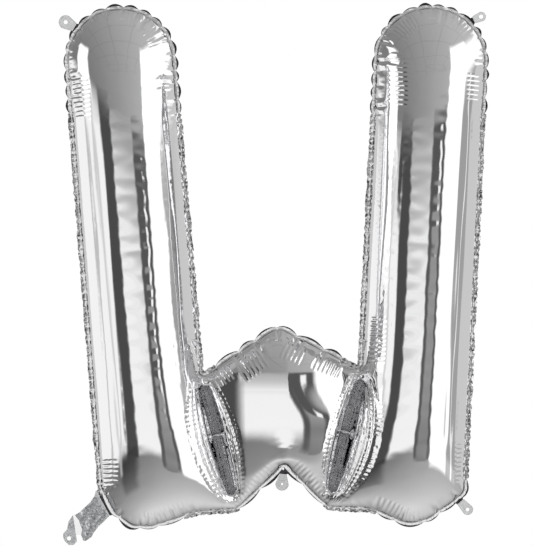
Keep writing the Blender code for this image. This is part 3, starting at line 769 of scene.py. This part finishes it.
# %% Puckers and ripples
# Columns: x and z of a place on the seam, half length along it, start and end depth, ripple height, millimetres
RIPPLES = (
    (-351, 274, 36, 8, 34, 0.45),       # left leg, outer side
    (-352, 332, 22, 5, 10, 0.25),
    (-294, 419, 18, 2, 9, 0.40),        # left dome
    (-219, 424, 20, 8, 30, 0.22),
    (-180, 390, 24, 8, 34, 0.28),
    (-168, 300, 12, 10, 36, 0.25),
    (168, 307, 46, 22, 52, 0.50),       # right leg, inner side
    (198, 410, 26, 10, 36, 0.30),       # right dome
    (321, 414, 17, 8, 28, 0.35),
    (354, 290, 24, 10, 30, 0.38),       # right leg, outer side
    (312, -322, 34, 8, 20, 0.45),
    (-294, -345, 30, 7, 33, 0.55),      # left leg, above the tail
    (-178, -419, 40, 6, 27, 0.45),      # left leg, bottom
    (197, -421, 44, 6, 27, 0.45),       # right leg, bottom
    (-98, -168, 22, 12, 30, 0.75),      # middle stroke, top left
    (-54, -138, 24, 14, 44, 0.80),
    (40, -123, 20, 12, 40, 0.70),       # middle stroke, top right
    (92, -150, 26, 12, 32, 0.70),
    (141, -120, 40, 12, 36, 0.60),      # right leg, by the notch
    (-28, -365, 44, 5, 22, 0.40),       # middle stroke, bottom left
    (52, -362, 44, 6, 26, 0.40),        # middle stroke, bottom right
)
RIPPLE_PITCH = 7.5 * MM
# Columns: x and z where a puckered run starts, x and z where it ends (anticlockwise), spacing of the creases,
# how far in they reach, depth, and how far the lobe between two creases swells outwards, millimetres
PUCKERED_RUNS = (
    (349, 250, 160, 250, 25, 11, 0.6, 1.4),        # right dome
    (-172, 250, -352, 250, 25, 11, 0.6, 1.4),      # left dome
    (-290, -380, -150, -415, 40, 15, 0.8, 1.6),    # left leg, bottom
    (165, -412, 310, -350, 38, 15, 0.8, 1.6),      # right leg, bottom
    (112, -152, -98, -168, 42, 22, 1.3, 3.6),      # middle stroke, top
    (-60, -398, 82, -392, 44, 12, 0.6, 1.2),       # middle stroke, bottom
)
# The few long creases. Columns: x and z on the seam, how far in, depth, half width, millimetres
LONG_CREASES = (
    (-210, 413, 34, 1.6, 2.6), (-187, 378, 26, 1.3, 2.2), (-171, 307, 36, 1.2, 2.0), (-353, 307, 26, 1.3, 2.0),
    (277, 430, 36, 1.4, 2.2), (284, 429, 30, 1.2, 1.8), (308, 412, 24, 1.3, 2.2), (169, 372, 24, 1.3, 2.0),
    (166, 336, 44, 1.5, 2.2), (163, 262, 22, 1.2, 1.8), (349, 334, 22, 0.9, 1.8),
    (-67, -147, 42, 1.6, 2.4), (-34, -124, 34, 1.5, 2.4), (9, -101, 22, 1.2, 1.8), (46, -119, 30, 1.4, 2.2),
    (82, -142, 28, 1.4, 2.2), (-260, -412, 18, 1.2, 2.0), (-212, -429, 22, 1.2, 2.0), (-166, -418, 26, 1.3, 2.0),
    (-134, -404, 20, 1.2, 2.0), (163, -404, 22, 1.2, 2.0), (204, -423, 24, 1.3, 2.0), (239, -423, 22, 1.2, 2.0),
    (271, -409, 26, 1.4, 2.4), (300, -384, 24, 1.3, 2.4), (-22, -362, 16, 1.0, 1.8), (48, -358, 16, 1.0, 1.8),
)
EDGE_RELEASE = 2.5 * MM                       # ripples die out this close to the weld itself


def seam_gap(place):
    """Signed distance along the seam to a place on it."""
    return (round_seam - place + SEAM_LENGTH / 2) % SEAM_LENGTH - SEAM_LENGTH / 2


push = np.zeros(len(fine_flat))
for x, z, half, start, stop, high in RIPPLES:
    gap = seam_gap(on_seam(x * MM, z * MM)[0])
    within = 1 - smooth_step(np.abs(gap), half * MM * 0.8, half * MM * 1.05)
    band = smooth_step(depth_in, (start - 2) * MM, (start + 1) * MM)
    band = band * (1 - smooth_step(depth_in, (stop - 4) * MM, (stop + 1) * MM))
    push += high * MM * within * band * np.sin(2 * math.pi * gap / RIPPLE_PITCH)

crease_places = []
lobes = []                                    # place of a crease, distance to the next, how far the lobe swells


def crease(place, lean, far, deep, half_width):
    """How far the film is drawn in along one crease that runs inwards from the seam."""
    gap = seam_gap(place) + lean * depth_in
    fade = (1 - smooth_step(depth_in, 0.3 * far, far)) * smooth_step(depth_in, 0, EDGE_RELEASE)
    width = half_width + 0.06 * depth_in
    valley = np.exp(-(gap / width) ** 2)
    shoulders = np.exp(-((np.abs(gap) - 2.6 * width) / (1.6 * width)) ** 2)
    return deep * fade * (0.45 * shoulders - valley)


for x0, z0, x1, z1, spacing, reach, deep, swell in PUCKERED_RUNS:
    start, stop = on_seam(x0 * MM, z0 * MM)[0], on_seam(x1 * MM, z1 * MM)[0]
    length = (stop - start) % SEAM_LENGTH
    number = max(1, round(length / (spacing * MM)))
    run_places = start + (np.arange(number + 1) / number) * length
    run_places[1:-1] += (random.random(number - 1) - 0.5) * 0.4 * spacing * MM
    lobes += [(a % SEAM_LENGTH, b - a, swell * MM) for a, b in zip(run_places, run_places[1:])]
    for place in run_places:
        crease_places.append(place % SEAM_LENGTH)
        lean = (random.random() - 0.5) * 0.3
        push += crease(place, lean, reach * MM * (0.6 + 0.6 * random.random()), deep * MM, 1.3 * MM)
for x, z, reach, deep, half_width in LONG_CREASES:
    push += crease(on_seam(x * MM, z * MM)[0], 0.0, reach * MM, deep * MM, half_width * MM)
print("creases:", len(crease_places), " ripple bands:", len(RIPPLES))

# %% Swollen lobes between the creases
LOBE_REACH = 16 * MM                          # the lobes swell the film this far in from the seam


def swelling(places):
    """How far the rim stands out at places along the seam."""
    out = np.zeros(len(places))
    for start, length, swell in lobes:
        into = ((places - start) % SEAM_LENGTH) / length
        within = into < 1
        out[within] = swell * np.sin(math.pi * into[within]) ** 0.6
    return out


seam_out = outward(seam_points)
for _ in range(8):
    seam_out = (np.roll(seam_out, 1, 0) + 2 * seam_out + np.roll(seam_out, -1, 0)) / 4
seam_out /= np.linalg.norm(seam_out, axis=1)[:, None]
swollen = swelling(round_seam) * (1 - smooth_step(depth_in, 2 * MM, LOBE_REACH))
nearest = np.minimum((round_seam / SEAM_STEP).round().astype(int), len(seam_points) - 1)
front[:, 0] += seam_out[nearest, 0] * swollen
front[:, 2] += seam_out[nearest, 1] * swollen
print("lobes:", len(lobes), "swollen by up to", round(float(swollen.max()) / MM, 1), "mm")

# %% Long waves beside the straight seams
STREAK_WIDTH, STREAK_LENGTH = 6.0 * MM, 160 * MM
STREAK_HEIGHT = 0.45 * MM
STREAK_FROM, STREAK_TO = 6 * MM, 64 * MM     # depth of the streaked strip

fine_straight = on_straight_side(fine_flat[:, 0], fine_flat[:, 1])
streaked = fine_straight * smooth_step(depth_in, STREAK_FROM / 2, STREAK_FROM)
streaked *= 1 - smooth_step(depth_in, 0.6 * STREAK_TO, STREAK_TO)
for i in np.nonzero(streaked > 0.01)[0]:
    where = Vector((depth_in[i] / STREAK_WIDTH, round_seam[i] / STREAK_LENGTH, 4.2))
    push[i] += STREAK_HEIGHT * streaked[i] * noise.noise(where)
print("streaked points:", int((streaked > 0.01).sum()))

# %% Ridge over the notch
# Columns: x and z of its foot and of its top, height, how far it spreads, millimetres
RIDGE = (14.9, -326.7, 18.5, -270.0, 2.0, 14.0)
foot, top = np.array(RIDGE[0:2]) * MM, np.array(RIDGE[2:4]) * MM
way = (top - foot) / np.linalg.norm(top - foot)
up = (fine_flat - foot) @ way
aside = np.abs((fine_flat - foot) @ np.array([way[1], -way[0]]))
length = np.linalg.norm(top - foot)
fade = smooth_step(up, 0, 12 * MM) * (1 - smooth_step(up, 0.4 * length, length))
push += RIDGE[4] * MM * fade * np.exp(-aside / (RIDGE[5] * MM)) * smooth_step(depth_in, 0, 10 * MM)
print("ridge", round(float(length) / MM), "mm long")

# %% Pleated lens round each pair of inner strips
# Columns: x and z of its top and of its bottom tip, how wide it is towards the leg and towards the middle, mm
LENSES = (
    (-126.0, -168.0, -64.0, -398.0, 42.0, 33.0),
    (139.0, -169.0, 84.5, -396.0, 54.0, 25.0),
)
PLEAT_PITCH, PLEAT_HEIGHT = 8.5 * MM, 0.9 * MM
LENS_ROUNDNESS = 0.55
LENS_CREASE, LENS_CREASE_WIDTH = 1.0 * MM, 1.8 * MM
STITCH_HEIGHT = 0.40 * MM
for x0, z0, x1, z1, to_leg, to_middle in LENSES:
    tip, end = np.array((x0, z0)) * MM, np.array((x1, z1)) * MM
    length = np.linalg.norm(end - tip)
    way = (end - tip) / length
    down = (fine_flat - tip) @ way
    aside = (fine_flat - tip) @ np.array([-way[1], way[0]]) * math.copysign(1, x0)     # positive towards the leg
    belly = np.sin(math.pi * np.clip(down / length, 0, 1)) ** LENS_ROUNDNESS
    reach = np.where(aside > 0, to_leg, to_middle) * MM * belly
    outwards = np.abs(aside) / np.maximum(reach, 0.1 * MM)
    inside = (1 - smooth_step(outwards, 0.9, 1.04)) * belly * smooth_step(strip_distance, 0, 3 * MM)
    turns = outwards * np.round(np.where(aside > 0, to_leg, to_middle) * MM / PLEAT_PITCH)
    push += PLEAT_HEIGHT * inside * np.cos(2 * math.pi * turns)
    push -= LENS_CREASE * belly * np.exp(-((np.abs(aside) - reach) / LENS_CREASE_WIDTH) ** 2)
    first = np.where(aside > 0, 0.58, 0.75)
    stitched = smooth_step(outwards, first, first + 0.1) * (1 - smooth_step(outwards, 1.0, 1.12)) * belly
    push += STITCH_HEIGHT * stitched * np.sin(2 * math.pi * down / RIPPLE_PITCH)
print("pleated lenses:", len(LENSES))

# %% Crumpled film round the inner strips
CRUMPLE_REACH = 26 * MM
CRUMPLE_HEIGHT = 0.55 * MM


def folds(x, z, size, seed):
    """Noise with sharp ridges, about -1 to 1, like film that has been folded and smoothed out."""
    return 1 - 3.2 * abs(noise.noise(Vector((x / size, seed, z / size))))


near_strip = 1 - smooth_step(strip_distance, 0.3 * CRUMPLE_REACH, CRUMPLE_REACH)
near_rim = 1 - smooth_step(depth_in, 1.5 * MM, 7 * MM)
for i in np.nonzero((near_strip > 0.01) | (near_rim > 0.01))[0]:
    x, z = fine_flat[i]
    crumple = 0.6 * folds(x, z, 9 * MM, 1.5) + 0.4 * folds(x, z, 4 * MM, 7.1)
    push[i] += CRUMPLE_HEIGHT * crumple * (near_strip[i] * min(1, strip_distance[i] / (3 * MM))
                                           + 0.35 * near_rim[i] * min(1, depth_in[i] / EDGE_RELEASE))


def point_normals(points, triangles):
    a, b, c = (points[triangles[:, k]] for k in range(3))
    facing = np.cross(b - a, c - a)
    total = np.stack([np.bincount(triangles.ravel(), np.repeat(facing[:, k], 3), len(points)) for k in range(3)], 1)
    return total / np.linalg.norm(total, axis=1)[:, None]


normals = point_normals(front, fine_faces)
if normals[:, 1].mean() > 0:
    fine_faces = fine_faces[:, ::-1]
    normals = -normals
front = front + normals * push[:, None]
print("pushed by up to", round(float(np.abs(push).max()) / MM, 2), "mm,", round(time.time() - started, 1), "s")

# %% [markdown]
# ## Finishes
# The film is a plastic sheet with a thin layer of aluminium, so the shader is plain metal with a low roughness.
# Its own detail is faint: long shallow waves along the legs that draw out the reflections into streaks, and a
# haze of tiny dents. Both come from one node group, because the weld border and the tail are the same film.

# %% Film surface group
surface_group, surface_in, surface_out = group_with(
    "film_surface",
    [("Wave Scale", NUMBER, 14.0), ("Wave Height", NUMBER, 1.0), ("Crumple Scale", NUMBER, 220.0),
     ("Crumple Height", NUMBER, 0.2)],
    [("Height", NUMBER), ("Haze", NUMBER)])


def noise_node(tree, scale, detail, coordinates, stretch):
    """A Noise Texture over coordinates that are stretched by the three factors."""
    mapping = tree.nodes.new("ShaderNodeMapping")
    mapping.inputs["Scale"].default_value = stretch
    tree.links.new(coordinates, mapping.inputs["Vector"])
    texture = tree.nodes.new("ShaderNodeTexNoise")
    texture.inputs["Detail"].default_value = detail
    tree.links.new(mapping.outputs[0], texture.inputs["Vector"])
    if isinstance(scale, (int, float)):
        texture.inputs["Scale"].default_value = scale
    else:
        tree.links.new(scale, texture.inputs["Scale"])
    return texture.outputs["Fac"]


here = surface_group.nodes.new("ShaderNodeTexCoord").outputs["Object"]
waves = noise_node(surface_group, surface_in.outputs["Wave Scale"], 2.0, here, (1.0, 1.0, 0.03))
dents = noise_node(surface_group, surface_in.outputs["Crumple Scale"], 4.0, here, (1.0, 1.0, 1.0))
waves_high = sum_node(surface_group, "MULTIPLY", waves, surface_in.outputs["Wave Height"])
dents_high = sum_node(surface_group, "MULTIPLY", dents, surface_in.outputs["Crumple Height"])
surface_group.links.new(sum_node(surface_group, "ADD", waves_high, dents_high), surface_out.inputs["Height"])
haze = noise_node(surface_group, 9.0, 3.0, here, (1.0, 1.0, 0.4))
surface_group.links.new(haze, surface_out.inputs["Haze"])


def finish(name, colour, metallic, roughness, roughness_spread, bump, values):
    """A Principled material over the film surface group. values are the group's inputs in order."""
    made = bpy.data.materials.new(name)
    made.use_nodes = True
    tree = made.node_tree
    shader = tree.nodes["Principled BSDF"]
    shader.inputs["Base Color"].default_value = colour
    shader.inputs["Metallic"].default_value = metallic
    surface = tree.nodes.new("ShaderNodeGroup")
    surface.node_tree = surface_group
    for slot, value in zip(surface.inputs, values):
        slot.default_value = value
    rough = tree.nodes.new("ShaderNodeMapRange")
    rough.inputs["From Min"].default_value = 0.3
    rough.inputs["From Max"].default_value = 0.7
    rough.inputs["To Min"].default_value = roughness
    rough.inputs["To Max"].default_value = roughness + roughness_spread
    tree.links.new(surface.outputs["Haze"], rough.inputs["Value"])
    tree.links.new(rough.outputs["Result"], shader.inputs["Roughness"])
    raised = tree.nodes.new("ShaderNodeBump")
    raised.inputs["Strength"].default_value = bump
    raised.inputs["Distance"].default_value = 0.001
    tree.links.new(surface.outputs["Height"], raised.inputs["Height"])
    tree.links.new(raised.outputs["Normal"], shader.inputs["Normal"])
    return made


def mixed_colour(made, attribute, other):
    """Base Color fades from the material's own colour to the other one where the mesh's attribute rises to 1."""
    tree = made.node_tree
    shader = tree.nodes["Principled BSDF"]
    told = tree.nodes.new("ShaderNodeAttribute")
    told.attribute_name = attribute
    blend = tree.nodes.new("ShaderNodeMix")
    blend.data_type = "RGBA"
    colours = [socket for socket in blend.inputs if socket.type == "RGBA"]
    tree.links.new(told.outputs["Fac"], blend.inputs["Factor"])
    colours[0].default_value = shader.inputs["Base Color"].default_value
    colours[1].default_value = other
    tree.links.new([socket for socket in blend.outputs if socket.type == "RGBA"][0], shader.inputs["Base Color"])
    return told


mirror_film = finish("mirror_film", (0.93, 0.93, 0.94, 1), 1.0, 0.03, 0.03, 0.2, (30.0, 1.0, 300.0, 0.03))
border_film = finish("border_film", (0.90, 0.90, 0.91, 1), 1.0, 0.08, 0.12, 0.6, (60.0, 0.6, 260.0, 0.6))
mixed_colour(border_film, "shadow", (0.05, 0.05, 0.055, 1))
strip_film = finish("strip_film", (0.42, 0.42, 0.43, 1), 1.0, 0.12, 0.20, 1.0, (90.0, 1.2, 260.0, 1.2))
print("finishes made:", mirror_film.name, border_film.name, strip_film.name)

# %% [markdown]
# ## The two sheets
# The back sheet is the front one's mirror image. They share only the weld line.

# %% Front and back sheets
def mesh_piece(name, points, triangles, material_made, marks=None):
    """A smooth mesh in the scene. marks are named attributes, with one value from 0 to 1 for each point."""
    mesh = bpy.data.meshes.new(name)
    mesh.from_pydata(np.asarray(points).tolist(), [], np.asarray(triangles).tolist())
    mesh.materials.append(material_made)
    mesh.shade_smooth()
    for mark, values in (marks or {}).items():
        mesh.attributes.new(mark, "FLOAT", "POINT").data.foreach_set("value", np.clip(values, 0, 1))
    made = bpy.data.objects.new(name, mesh)
    scene.collection.objects.link(made)
    print(name, len(mesh.vertices), "points", len(mesh.polygons), "faces")
    return made


front_foil = mesh_piece("front_foil", front, fine_faces, mirror_film)
back = front * (1, -1, 1)
back_foil = mesh_piece("back_foil", back, fine_faces[:, ::-1], mirror_film)
for foil, node in ((front_foil, "front_sheet"), (back_foil, "back_sheet")):
    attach(foil, "balloon")
    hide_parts(node)

# %% [markdown]
# ## The welded border
# Outside the weld the two films lie flat on each other. Round the domes, the bottoms and the middle stroke the
# full tube draws that strip in, so a pale rim shows and only small crescents stand out behind it, in shadow. On
# the straight sides the strip is loose and crumpled like kitchen foil. A ribbon of narrow quads follows the weld
# line, and an attribute called shadow says where it is dark.

# %% Border ribbon
BORDER_WIDTH = 6.0 * MM
BORDER_RAGGEDNESS = 2.5 * MM
RIM_WIDTH = 3.4 * MM
CRESCENT_WIDTH = 3.6 * MM
RIBBON_STEP = 1.4 * MM
ACROSS = (-0.12, 0.0, 0.22, 0.45, 0.68, 0.86, 1.0)           # share of the whole width, on the straight sides
# Seats, where a tab or the tail leaves the border. Columns: x, z, the way it faces in degrees, length, mm
SEATS = {
    "tab_top_left": (-331.5, 394.0, 150.0, 15.0),
    "tab_top_right": (327.2, 406.0, 24.0, 12.0),
    "tab_bottom_right": (305.5, -389.0, -48.0, 14.0),
    "tab_bottom_middle": (13.0, -343.5, -97.0, 11.5),
    "tail": (-284.8, -391.2, 208.4, 47.5),
}
coarse_line, ribbon_place = closely_spaced(weld, RIBBON_STEP)
ribbon_out = outward(coarse_line)
for _ in range(3):
    ribbon_out = (np.roll(ribbon_out, 1, 0) + 2 * ribbon_out + np.roll(ribbon_out, -1, 0)) / 4
ribbon_out /= np.linalg.norm(ribbon_out, axis=1)[:, None]
coarse_line = coarse_line + ribbon_out * swelling(ribbon_place)[:, None]
places = np.sort(crease_places)
runs = [(on_seam(row[0] * MM, row[1] * MM)[0], on_seam(row[2] * MM, row[3] * MM)[0]) for row in PUCKERED_RUNS]
drawn_in = np.zeros(len(coarse_line))
for start, stop in runs:
    into = (ribbon_place - start) % SEAM_LENGTH
    drawn_in[into < (stop - start) % SEAM_LENGTH] = 1
lobe_size = 0.3 + 0.9 * random.random(len(places))
rim = np.full(len(coarse_line), RIM_WIDTH)
width = np.full(len(coarse_line), BORDER_WIDTH)
for i, place in enumerate(ribbon_place):
    k = np.searchsorted(places, place) % len(places)
    before, after = places[k - 1], places[k]
    part = ((place - before) % SEAM_LENGTH) / max((after - before) % SEAM_LENGTH, 1e-6)
    if drawn_in[i]:
        rim[i] *= 0.75 + 0.25 * math.sin(math.pi * part) ** 0.5
        width[i] = rim[i] + CRESCENT_WIDTH * lobe_size[k] * math.sin(math.pi * part)
    else:
        width[i] += BORDER_RAGGEDNESS * (0.6 * noise.noise(Vector((place / 0.022, 0, 3.3)))
                                         + 0.7 * noise.noise(Vector((place / 0.006, 0, 8.1))))
for x, z, facing, length in SEATS.values():
    a = math.radians(facing)
    out, side = np.array([math.cos(a), math.sin(a)]), np.array([-math.sin(a), math.cos(a)])
    middle = np.array([x, z]) * MM
    slope = ribbon_out @ out
    with np.errstate(divide="ignore", invalid="ignore"):
        ray = ((middle - coarse_line) @ out) / slope
    hits = coarse_line + ribbon_out * ray[:, None]
    near = (slope > 0.3) & (ray > 0) & (ray < 0.03) & (np.abs((hits - middle) @ side) < length * MM / 2)
    width[near] = ray[near]
ribbon, shadow = [], []
for i, (p, n, w) in enumerate(zip(coarse_line, ribbon_out, width)):
    if drawn_in[i]:
        steps = (-0.12 * w, 0, 0.5 * rim[i], 0.94 * rim[i], 1.06 * rim[i], 0.5 * (w + rim[i]), w)
        ends = (0, 0, 0, 0, 1, 1, 1)
    else:
        steps, ends = [w * t for t in ACROSS], (0,) * len(ACROSS)
    for reach, dark in zip(steps, ends):
        q = p + n * reach
        fold = folds(q[0], q[1], 11 * MM, 2.2) + 0.6 * folds(q[0], q[1], 5 * MM, 5.7)
        loose = max(reach, 0) / BORDER_WIDTH
        ribbon.append((q[0], (0.35 if drawn_in[i] else 1.3) * MM * loose * fold, q[1]))
        patch = noise.noise(Vector((q[0] / 0.004, 1.7, q[1] / 0.004)))
        patch += 0.6 * noise.noise(Vector((q[0] / 0.0017, 6.1, q[1] / 0.0017)))
        shadow.append(dark if drawn_in[i] else smooth_step(patch, 0.0, 0.5) * min(1, 3 * loose) * 0.95)
columns = len(ACROSS)
total = len(coarse_line)
quads = [(i * columns + k, i * columns + k + 1, (i + 1) % total * columns + k + 1, (i + 1) % total * columns + k)
         for i in range(total) for k in range(columns - 1)]
border = mesh_piece("welded_border", ribbon, quads, border_film, {"shadow": np.array(shadow, float)})
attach(border, "balloon")
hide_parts("seam_border")

# %% [markdown]
# ## Tabs and fill tail
# These are loose ends of the same film, crumpled and half clear. Each is cut from a flat outline, filled with
# small triangles, and pushed up and down by folded noise that is still at its root.

# %% Loose film
FILM_STEP = 1.3 * MM
tab_finish = finish("tab_film_grey", (0.66, 0.67, 0.68, 1), 0.3, 0.18, 0.15, 1.0, (40.0, 0.5, 300.0, 0.8))
tab_finish.node_tree.nodes["Principled BSDF"].inputs["Alpha"].default_value = 0.72
# The dark grey mixed in where the edge attribute rises is painted shade along each tab's outline. It stands in for
# how light meets the thin film's cut edge.
mixed_colour(tab_finish, "edge", (0.22, 0.22, 0.23, 1))
tail_finish = finish("tail_film_silver", (0.72, 0.73, 0.74, 1), 0.9, 0.14, 0.16, 1.0, (50.0, 0.8, 260.0, 0.9))
clear_finish = finish("valve_film_clear", (0.93, 0.94, 0.95, 1), 0.0, 0.08, 0.10, 0.8, (50.0, 0.8, 260.0, 0.6))
clear_finish.node_tree.nodes["Principled BSDF"].inputs["Alpha"].default_value = 0.30


def crumpled(height, seed, still=lambda x, z: 1.0):
    """A relief of soft folds. still(x, z) is 0 at the root, where the film stays flat, and 1 away from it."""
    return lambda x, z: height * still(x, z) * (folds(x, z, 14 * MM, seed) + 0.5 * folds(x, z, 6 * MM, seed + 4.4))


def film_piece(name, outline, holes, relief, finish_made):
    """A flat film. outline and holes are lines of (x, z), and relief(x, z) says how far a point stands out."""
    lines = [np.array(outline)] + [np.array(h) for h in holes]
    lines = [evenly_spaced(line, line * 0, FILM_STEP)[0] for line in lines]
    low, high = lines[0].min(0), lines[0].max(0)
    grid = np.array([(x + (k % 2) * FILM_STEP / 2, z)
                     for k, z in enumerate(np.arange(low[1], high[1], FILM_STEP * 0.866))
                     for x in np.arange(low[0], high[0], FILM_STEP)])
    inside = is_inside(lines[0], grid) & (distance_to(lines[0], grid) > 0.6 * FILM_STEP)
    for line in lines[1:]:
        inside &= ~is_inside(line, grid) & (distance_to(line, grid) > 0.6 * FILM_STEP)
    starts = np.cumsum([0] + [len(line) for line in lines])
    edges = [(int(s) + i, int(s) + (i + 1) % len(line)) for s, line in zip(starts, lines) for i in range(len(line))]
    cloud = [Vector(p) for line in lines for p in line] + [Vector(p) for p in grid[inside]]
    points, _, triangles, *_ = delaunay_2d_cdt(cloud, edges, [], 1, 1e-7)
    points, triangles = np.array([tuple(p) for p in points]), np.array([tuple(t) for t in triangles])
    centres = points[triangles].mean(1)
    film = is_inside(lines[0], centres)
    for line in lines[1:]:
        film &= ~is_inside(line, centres)
    shape = [(x, relief(x, z), z) for x, z in points]
    to_edge = np.min([distance_to(line, points) for line in lines], 0)
    # The edge attribute rises to 1 at the outline. On the tab films it carries painted shade.
    return mesh_piece(name, shape, triangles[film], finish_made, {"edge": 1 - to_edge / (0.8 * FILM_STEP)})


def circle(x, z, radius, count=20):
    return [(x + radius * math.cos(a), z + radius * math.sin(a)) for a in np.linspace(0, 2 * math.pi, count + 1)[:-1]]


# %% Inner weld strips
STRIP_NAMES = ("left_upper", "left_lower", "right_upper", "right_lower")
STRIP_PLEAT, STRIP_PLEAT_HEIGHT = 4.2 * MM, 0.8 * MM


def pleated(row, seed):
    """A relief of folds that run along a strip."""
    top, bottom = np.array(row[0:2]) * MM, np.array(row[2:4]) * MM
    way = (bottom - top) / np.linalg.norm(bottom - top)

    def relief(x, z):
        aside = (x - top[0]) * way[1] - (z - top[1]) * way[0]
        wander = 1.5 * noise.noise(Vector((x / (20 * MM), seed, z / (20 * MM))))
        height = math.cos(2 * math.pi * aside / STRIP_PLEAT + wander)
        return STRIP_PLEAT_HEIGHT * height + 0.35 * MM * folds(x, z, 5 * MM, seed)

    return relief


for name, row, seed in zip(STRIP_NAMES, WELD_STRIPS, (31.2, 33.4, 35.6, 37.8)):
    line = strip_line(row, RIM_STEP)[0]
    film = film_piece("weld_strip_" + name + "_film", line + 0.4 * MM * outward(line), [], pleated(row, seed),
                      strip_film)
    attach(film, "balloon")
    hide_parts("weld_strip_" + name)

# %% Hanging tabs
# Columns: reach from the seat, width, hole radius, crumple height, millimetres
TABS = {
    "tab_top_left": (28.0, 23.0, 3.5, 1.6),
    "tab_top_right": (21.0, 16.0, 3.7, 0.3),
    "tab_bottom_right": (26.0, 18.0, 3.2, 1.5),
    "tab_bottom_middle": (27.0, 22.0, 2.0, 1.4),
}
GAP = 0.3
for number, (name, (reach, width_mm, hole, high)) in enumerate(TABS.items()):
    x, z, facing, length = SEATS[name]
    a = math.radians(facing)
    out, side = np.array([math.cos(a), math.sin(a)]), np.array([-math.sin(a), math.cos(a)])
    root = np.array([x, z]) + GAP * out
    round_end = reach - width_mm / 2
    outline = [root - side * length / 2]
    outline += [root + out * (round_end + width_mm / 2 * math.sin(t)) - side * width_mm / 2 * math.cos(t)
                for t in np.linspace(0, math.pi, 24)]
    outline += [root + side * length / 2]
    centre = root + out * round_end
    relief = crumpled(high * MM, 11.3 + number,
                      lambda px, pz, r=root, o=out: smooth_step((np.array([px, pz]) / MM - r) @ o, 0.0, 8.0))
    tab = film_piece(name + "_film", np.array(outline) * MM, [circle(*(centre * MM), hole * MM)], relief, tab_finish)
    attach(tab, name)
    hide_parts(name)

# %% Fill tail
NECK = (
    (-298.5, -379.5), (-305.9, -390.2), (-315.8, -399.3), (-322.4, -405.9), (-330.7, -410.9),
    (-324.1, -420.8), (-319.1, -435.6), (-320.8, -443.9), (-317.5, -452.9), (-313.3, -453.8),
    (-304.3, -448.0), (-297.7, -437.3), (-291.1, -429.0), (-284.5, -423.2),
)
VALVE = (
    (-333.5, -411.2), (-329.8, -435.5), (-328.8, -443.8), (-321.2, -443.8),
    (-319.6, -435.7), (-324.5, -421.1), (-331.1, -411.2),
)
FLAP = (
    (-334.0, -410.9), (-341.4, -421.6), (-343.9, -434.8), (-350.1, -441.4), (-350.1, -448.0),
    (-347.2, -454.6), (-340.6, -460.4), (-333.1, -460.4), (-327.4, -454.6), (-330.2, -435.6),
)
FILL_HOLE = (-340.5, -449.5, 3.4)
tail_x, tail_z, tail_facing, tail_length = SEATS["tail"]
tail_angle = math.radians(tail_facing)
tail_out = np.array([math.cos(tail_angle), math.sin(tail_angle)])
tail_side = np.array([-tail_out[1], tail_out[0]])
tail_root = np.array([tail_x, tail_z]) + GAP * tail_out
root_ends = [tail_root + tail_side * tail_length / 2, tail_root - tail_side * tail_length / 2]


def away_from_tail_root(x, z):
    return smooth_step((np.array([x, z]) / MM - tail_root) @ tail_out, 0.0, 12.0)


neck_line = np.array([root_ends[0]] + [root_ends[1]] + list(NECK)) * MM
neck = film_piece("tail_neck_film", neck_line, [], crumpled(1.8 * MM, 21.7, away_from_tail_root), tail_finish)
valve = film_piece("valve_film_clear", np.array(VALVE) * MM, [], crumpled(1.0 * MM, 22.9, away_from_tail_root),
                   clear_finish)
flap = film_piece("tail_flap_film", np.array(FLAP) * MM, [circle(*(np.array(FILL_HOLE) * MM))],
                  crumpled(0.5 * MM, 25.1, away_from_tail_root), tail_finish)
for film, node, slot_name in ((neck, "tail_neck", "tail_film"), (valve, "valve_film", "valve_film"),
                              (flap, "tail_flap", "tail_film")):
    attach(film, "fill_tail")
    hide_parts(node)

# %% [markdown]
# ## Size
# The dressed letter's box is printed. The dressed letter has to stay inside the CAD model's
# box.

# %% Size
scene_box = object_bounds()
print("scene box:", [[round(float(v), 4) for v in c] for c in scene_box], round(time.time() - started, 1), "s")
